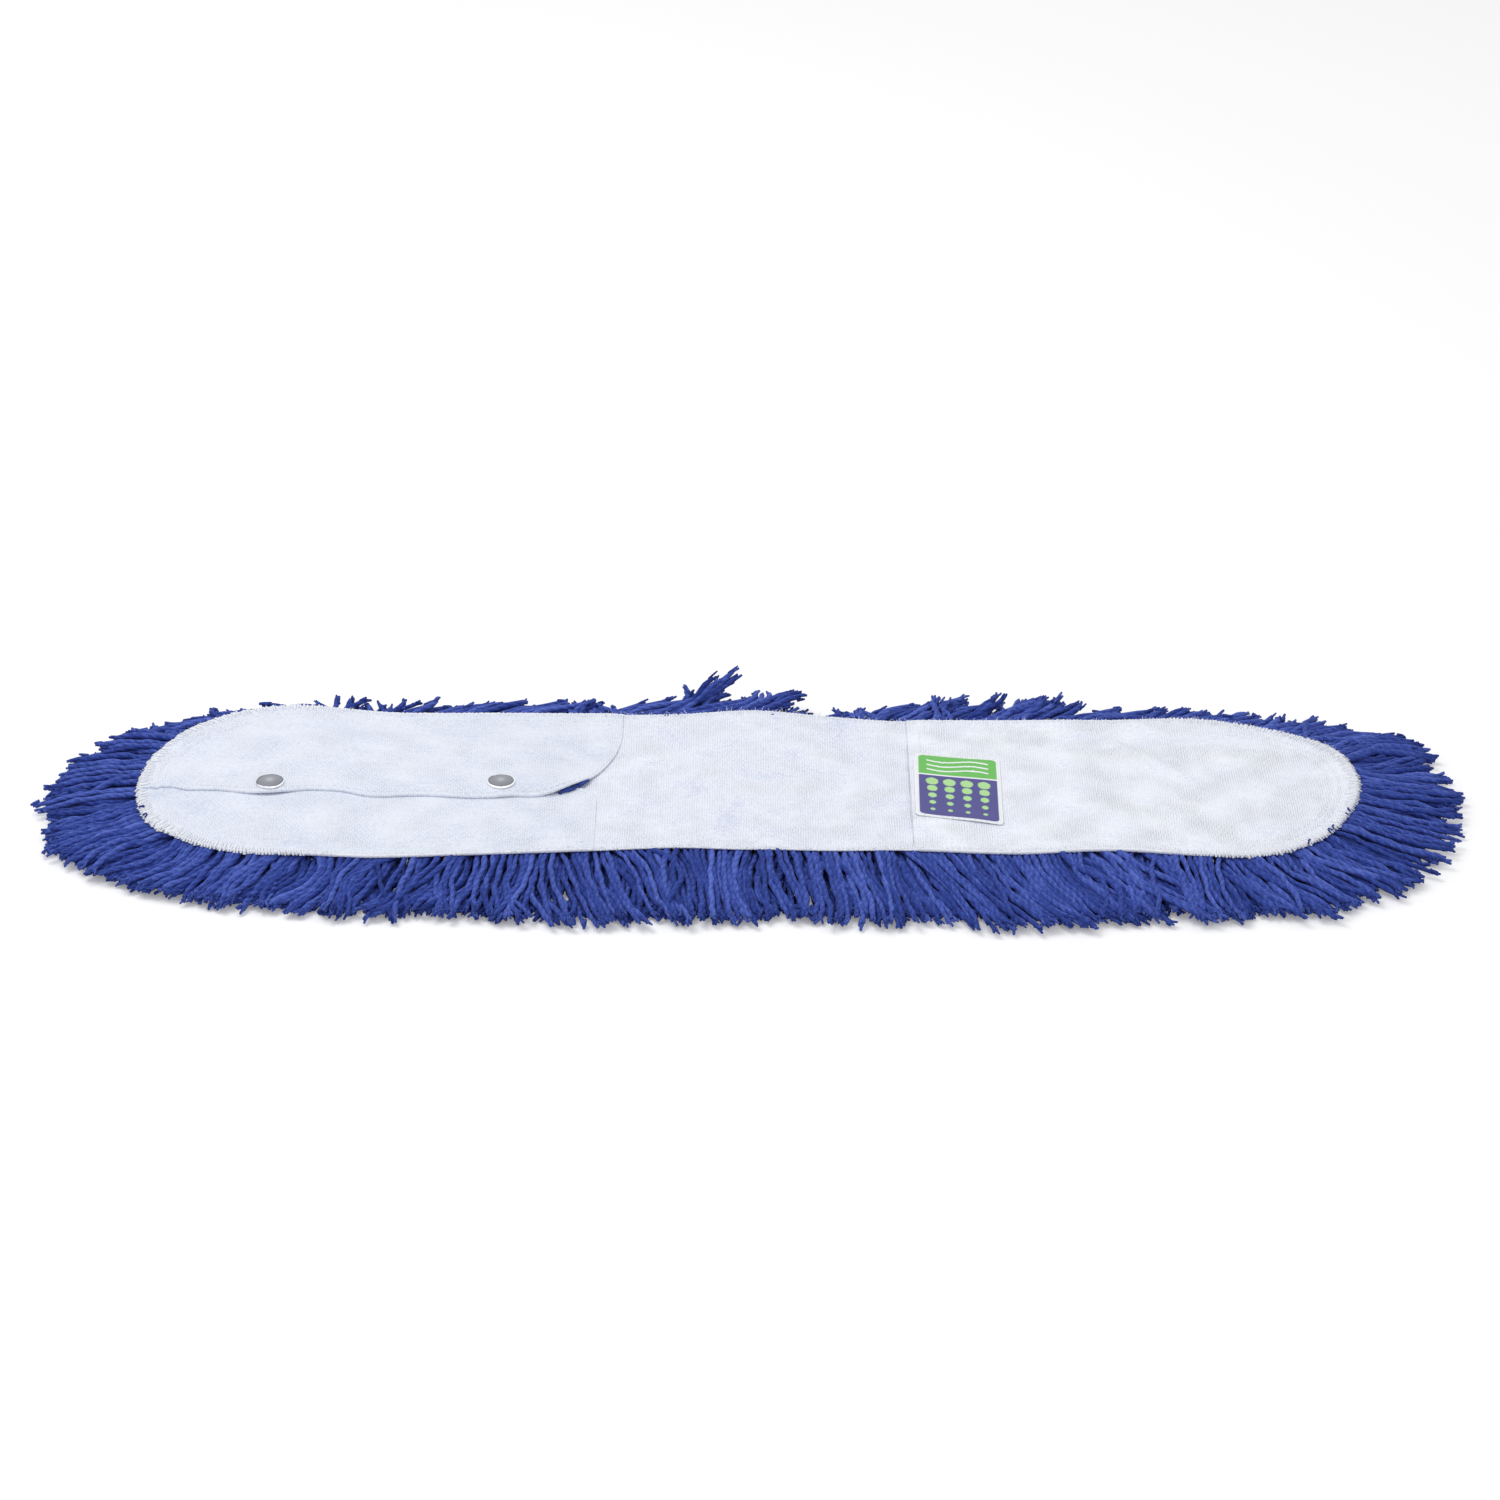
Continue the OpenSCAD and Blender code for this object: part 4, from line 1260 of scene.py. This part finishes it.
def label_design(u, v):
    """A plain print: a green band with three waves, and an indigo field with rows of shrinking drops."""
    white = np.array([0.9, 0.92, 0.95])
    green = np.array([0.13, 0.5, 0.085])
    indigo = np.array([0.055, 0.05, 0.25])
    leaf = np.array([0.42, 0.72, 0.3])
    colour = np.broadcast_to(white, u.shape + (3,)).copy()
    half_u, half_v = LABEL_W / 2 - LABEL_BORDER, LABEL_L / 2 - LABEL_BORDER
    corner = 2 * MM
    past = np.hypot(np.maximum(np.abs(u) - half_u + corner, 0), np.maximum(np.abs(v) - half_v + corner, 0))
    printed = past < corner
    split = LABEL_L / 6
    colour[printed & (v > split + 0.6 * MM)] = green
    colour[printed & (v < split - 0.6 * MM)] = indigo
    for row in range(3):
        middle = split + 7 * MM + row * 5.5 * MM + 1.6 * MM * np.sin(u / (5.2 * MM))
        colour[printed & (np.abs(v - middle) < 0.75 * MM) & (np.abs(u) < half_u - 4 * MM)] = white
    for row in range(5):
        radius = (3.4 - 0.55 * row) * MM
        for column in range(4):
            at_u = (column - 1.5) * 9.2 * MM
            at_v = split - 8 * MM - row * 8.6 * MM
            colour[printed & (np.hypot(u - at_u, (v - at_v) * 0.8) < radius)] = leaf
    return np.concatenate([colour, np.ones(u.shape + (1,))], -1)


def make_label():
    columns, rows = 96, 160
    u = np.linspace(-LABEL_W / 2, LABEL_W / 2, columns)[:, None]
    past = np.clip(np.abs(u) - LABEL_W / 2 + LABEL_CORNER, 0, LABEL_CORNER * 0.999)
    half = LABEL_L / 2 - LABEL_CORNER + np.sqrt(LABEL_CORNER ** 2 - past ** 2)
    u = np.repeat(u, rows, 1)
    v = half * np.linspace(-1, 1, rows)[None, :]
    obj = sheet_mesh("sewn_label", u, v, *settle(*label_plan(u, v)), label_height(u, v))
    print_layer = obj.data.color_attributes.new("design", "FLOAT_COLOR", "POINT")
    print_layer.data.foreach_set("color", label_design(u, v).astype(np.float32).ravel())
    thicken(obj, LABEL_T)
    finish_piece(obj, label_print, "sleeve", "label", "label")


def make_label_stitches():
    """One row of stitches all round the label's border."""
    u0, v0 = LABEL_W / 2 - 1.3 * MM, LABEL_L / 2 - 1.3 * MM
    turn = np.linspace(0, 2 * PI, 400)
    corner = 2 * MM
    u = np.clip(3 * LABEL_L * np.cos(turn), -u0 + corner, u0 - corner) + corner * np.cos(turn)
    v = np.clip(3 * LABEL_L * np.sin(turn), -v0 + corner, v0 - corner) + corner * np.sin(turn)
    line = np.stack([u, v], -1)
    obj = stitches("label_stitches", run_of(line, 2.2 * MM, 0.7 * MM), label_height, 0.2 * MM, 0.2 * MM,
                   place=lambda u, v: settle(*label_plan(u, v)))
    finish_piece(obj, thread, "sleeve", "thread", "label_stitching")


# ---- press studs ----

# (radius, height) pairs in millimetres
CAP_PROFILE = [(6.7, 0.0), (7.2, 0.06), (7.45, 0.3), (7.5, 0.7), (7.42, 1.1), (7.2, 1.4), (7.0, 1.46),
               (6.85, 1.36), (6.6, 1.4), (6.0, 1.5), (5.2, 1.62), (4.2, 1.76), (3.2, 1.88), (2.0, 2.0),
               (0.9, 2.07), (0.3, 2.09)]
CAP_FOOT = caps_hi.z - CAP_PROFILE[-1][1] * MM
CAP_SIDES = 72


def turned_cap(name, centre):
    """A round cap, pushed up ring by ring through the (radius, height) pairs of its profile."""
    bpy.ops.object.select_all(action="DESELECT")
    radius, height = CAP_PROFILE[0]
    bpy.ops.mesh.primitive_circle_add(vertices=CAP_SIDES, radius=radius * MM, fill_type="NGON",
                                      location=(centre[0], centre[1], CAP_FOOT + height * MM))
    obj = bpy.context.active_object
    obj.name = name
    bpy.ops.object.transform_apply(location=True, rotation=True, scale=True)
    bpy.ops.object.mode_set(mode="EDIT")
    bpy.ops.mesh.select_all(action="SELECT")
    for (before_r, before_z), (after_r, after_z) in zip(CAP_PROFILE, CAP_PROFILE[1:]):
        bpy.ops.mesh.extrude_region_move()
        factor = after_r / before_r
        bpy.ops.transform.resize(value=(factor, factor, 1), center_override=(centre[0], centre[1], CAP_FOOT))
        bpy.ops.transform.translate(value=(0, 0, (after_z - before_z) * MM))
    bpy.ops.mesh.select_all(action="SELECT")
    bpy.ops.mesh.normals_make_consistent(inside=False)
    bpy.ops.object.mode_set(mode="OBJECT")
    bpy.ops.object.shade_smooth()
    obj.select_set(False)
    reach = [math.hypot(v.co.x - centre[0], v.co.y - centre[1]) / CAP_R for v in obj.data.vertices]
    obj.data.attributes.new("tone", "FLOAT", "POINT").data.foreach_set("value", reach)
    return obj


def make_press_studs():
    caps = [turned_cap("press_stud_cap_left", CAP_LEFT), turned_cap("press_stud_cap_right", CAP_RIGHT)]
    bpy.ops.object.select_all(action="DESELECT")
    for cap in caps:
        cap.select_set(True)
    bpy.context.view_layer.objects.active = caps[0]
    bpy.ops.object.join()
    caps[0].name = "press_stud_caps"
    finish_piece(caps[0], cap_nickel, "rear_flap", "press_stud_metal", "snap_caps")
    for node in ("snap_sockets", "snap_stud_left", "snap_stud_right", "snap_post_left", "snap_post_right"):
        hardware = frame["nodes"][node]
        hardware.data.materials.clear()
        hardware.data.materials.append(nickel)


# ---- stray yarn ----

STRAY_R = 0.5 * MM
# The next two: dark blue strands laid in the slit at the rear flap's round corner, as painted shade.
SLIT_SHADE_R = 0.85 * MM
SLIT_SHADE_STRANDS = ((-101, -93), (-100, -92), (-99, -93), (-93, -86), (-92, -87), (-91, -86))     # x, mm


def lone_strand(x, y, z, radius, tone):
    return tubes(np.stack([x, y, z], -1)[None], np.full((1, len(x)), radius), STRAND_SIDES, np.array([tone]))


def make_stray_yarn():
    """Short blue ends that have worked over the canvas's edge."""
    rng = np.random.default_rng(401)
    parts = []
    t = np.linspace(0, 1, 6)
    over_edge = [FRONT_END + ARC * u for u in (0.2, 0.265, 0.28, 0.34, 0.355)]
    over_edge += [EDGE_LENGTH - ARC * u for u in (0.365, 0.4)]
    for at in over_edge:
        point, out = on_edge(np.array([at]))
        away = 1.2 + rng.uniform(0, 0.5) - rng.uniform(1.4, 2.6) * np.sin(PI * t * rng.uniform(0.6, 1.0))
        along = rng.uniform(1.5, 3.2) * (t - 0.5) + rng.normal(0, 0.8) * t ** 2
        plan = point + (out * away[:, None] + along_edge(out) * along[:, None]) * MM
        z = RIM_Z + CLOTH_T + (0.9 - 0.5 * away) * MM
        parts.append(lone_strand(*settle(*plan.T), z, STRAY_R, 0.3))
    finish_piece(join_parts("stray_yarn", parts), yarn, "sleeve", "yarn")


def make_slit_shade_yarn():
    """Dark blue strands laid in the slit between the flaps, where the rear one's round corner lies open:
    painted shade for the slit.

    The front flap carries them.
    """
    rng = np.random.default_rng(402)
    parts = []
    t = np.linspace(0, 1, 6)
    for start, end in SLIT_SHADE_STRANDS:
        x = (start + (end - start) * t) * MM
        y = rear_low(x) + (rng.uniform(-1.0, 1.2) + 0.6 * np.sin(5 * t + start)) * MM
        z = front_height(x, y) + (0.7 + 0.4 * np.sin(PI * t)) * MM
        # A dark tone, as painted shade in the slit.
        parts.append(lone_strand(*settle(x, y), z, SLIT_SHADE_R, 0.35))
    finish_piece(join_parts("slit_shade_yarn", parts), yarn, "front_flap", "yarn")


make_seams()
make_hem_stitches()
make_overlock()
make_label()
make_label_stitches()
make_press_studs()
make_stray_yarn()
make_slit_shade_yarn()
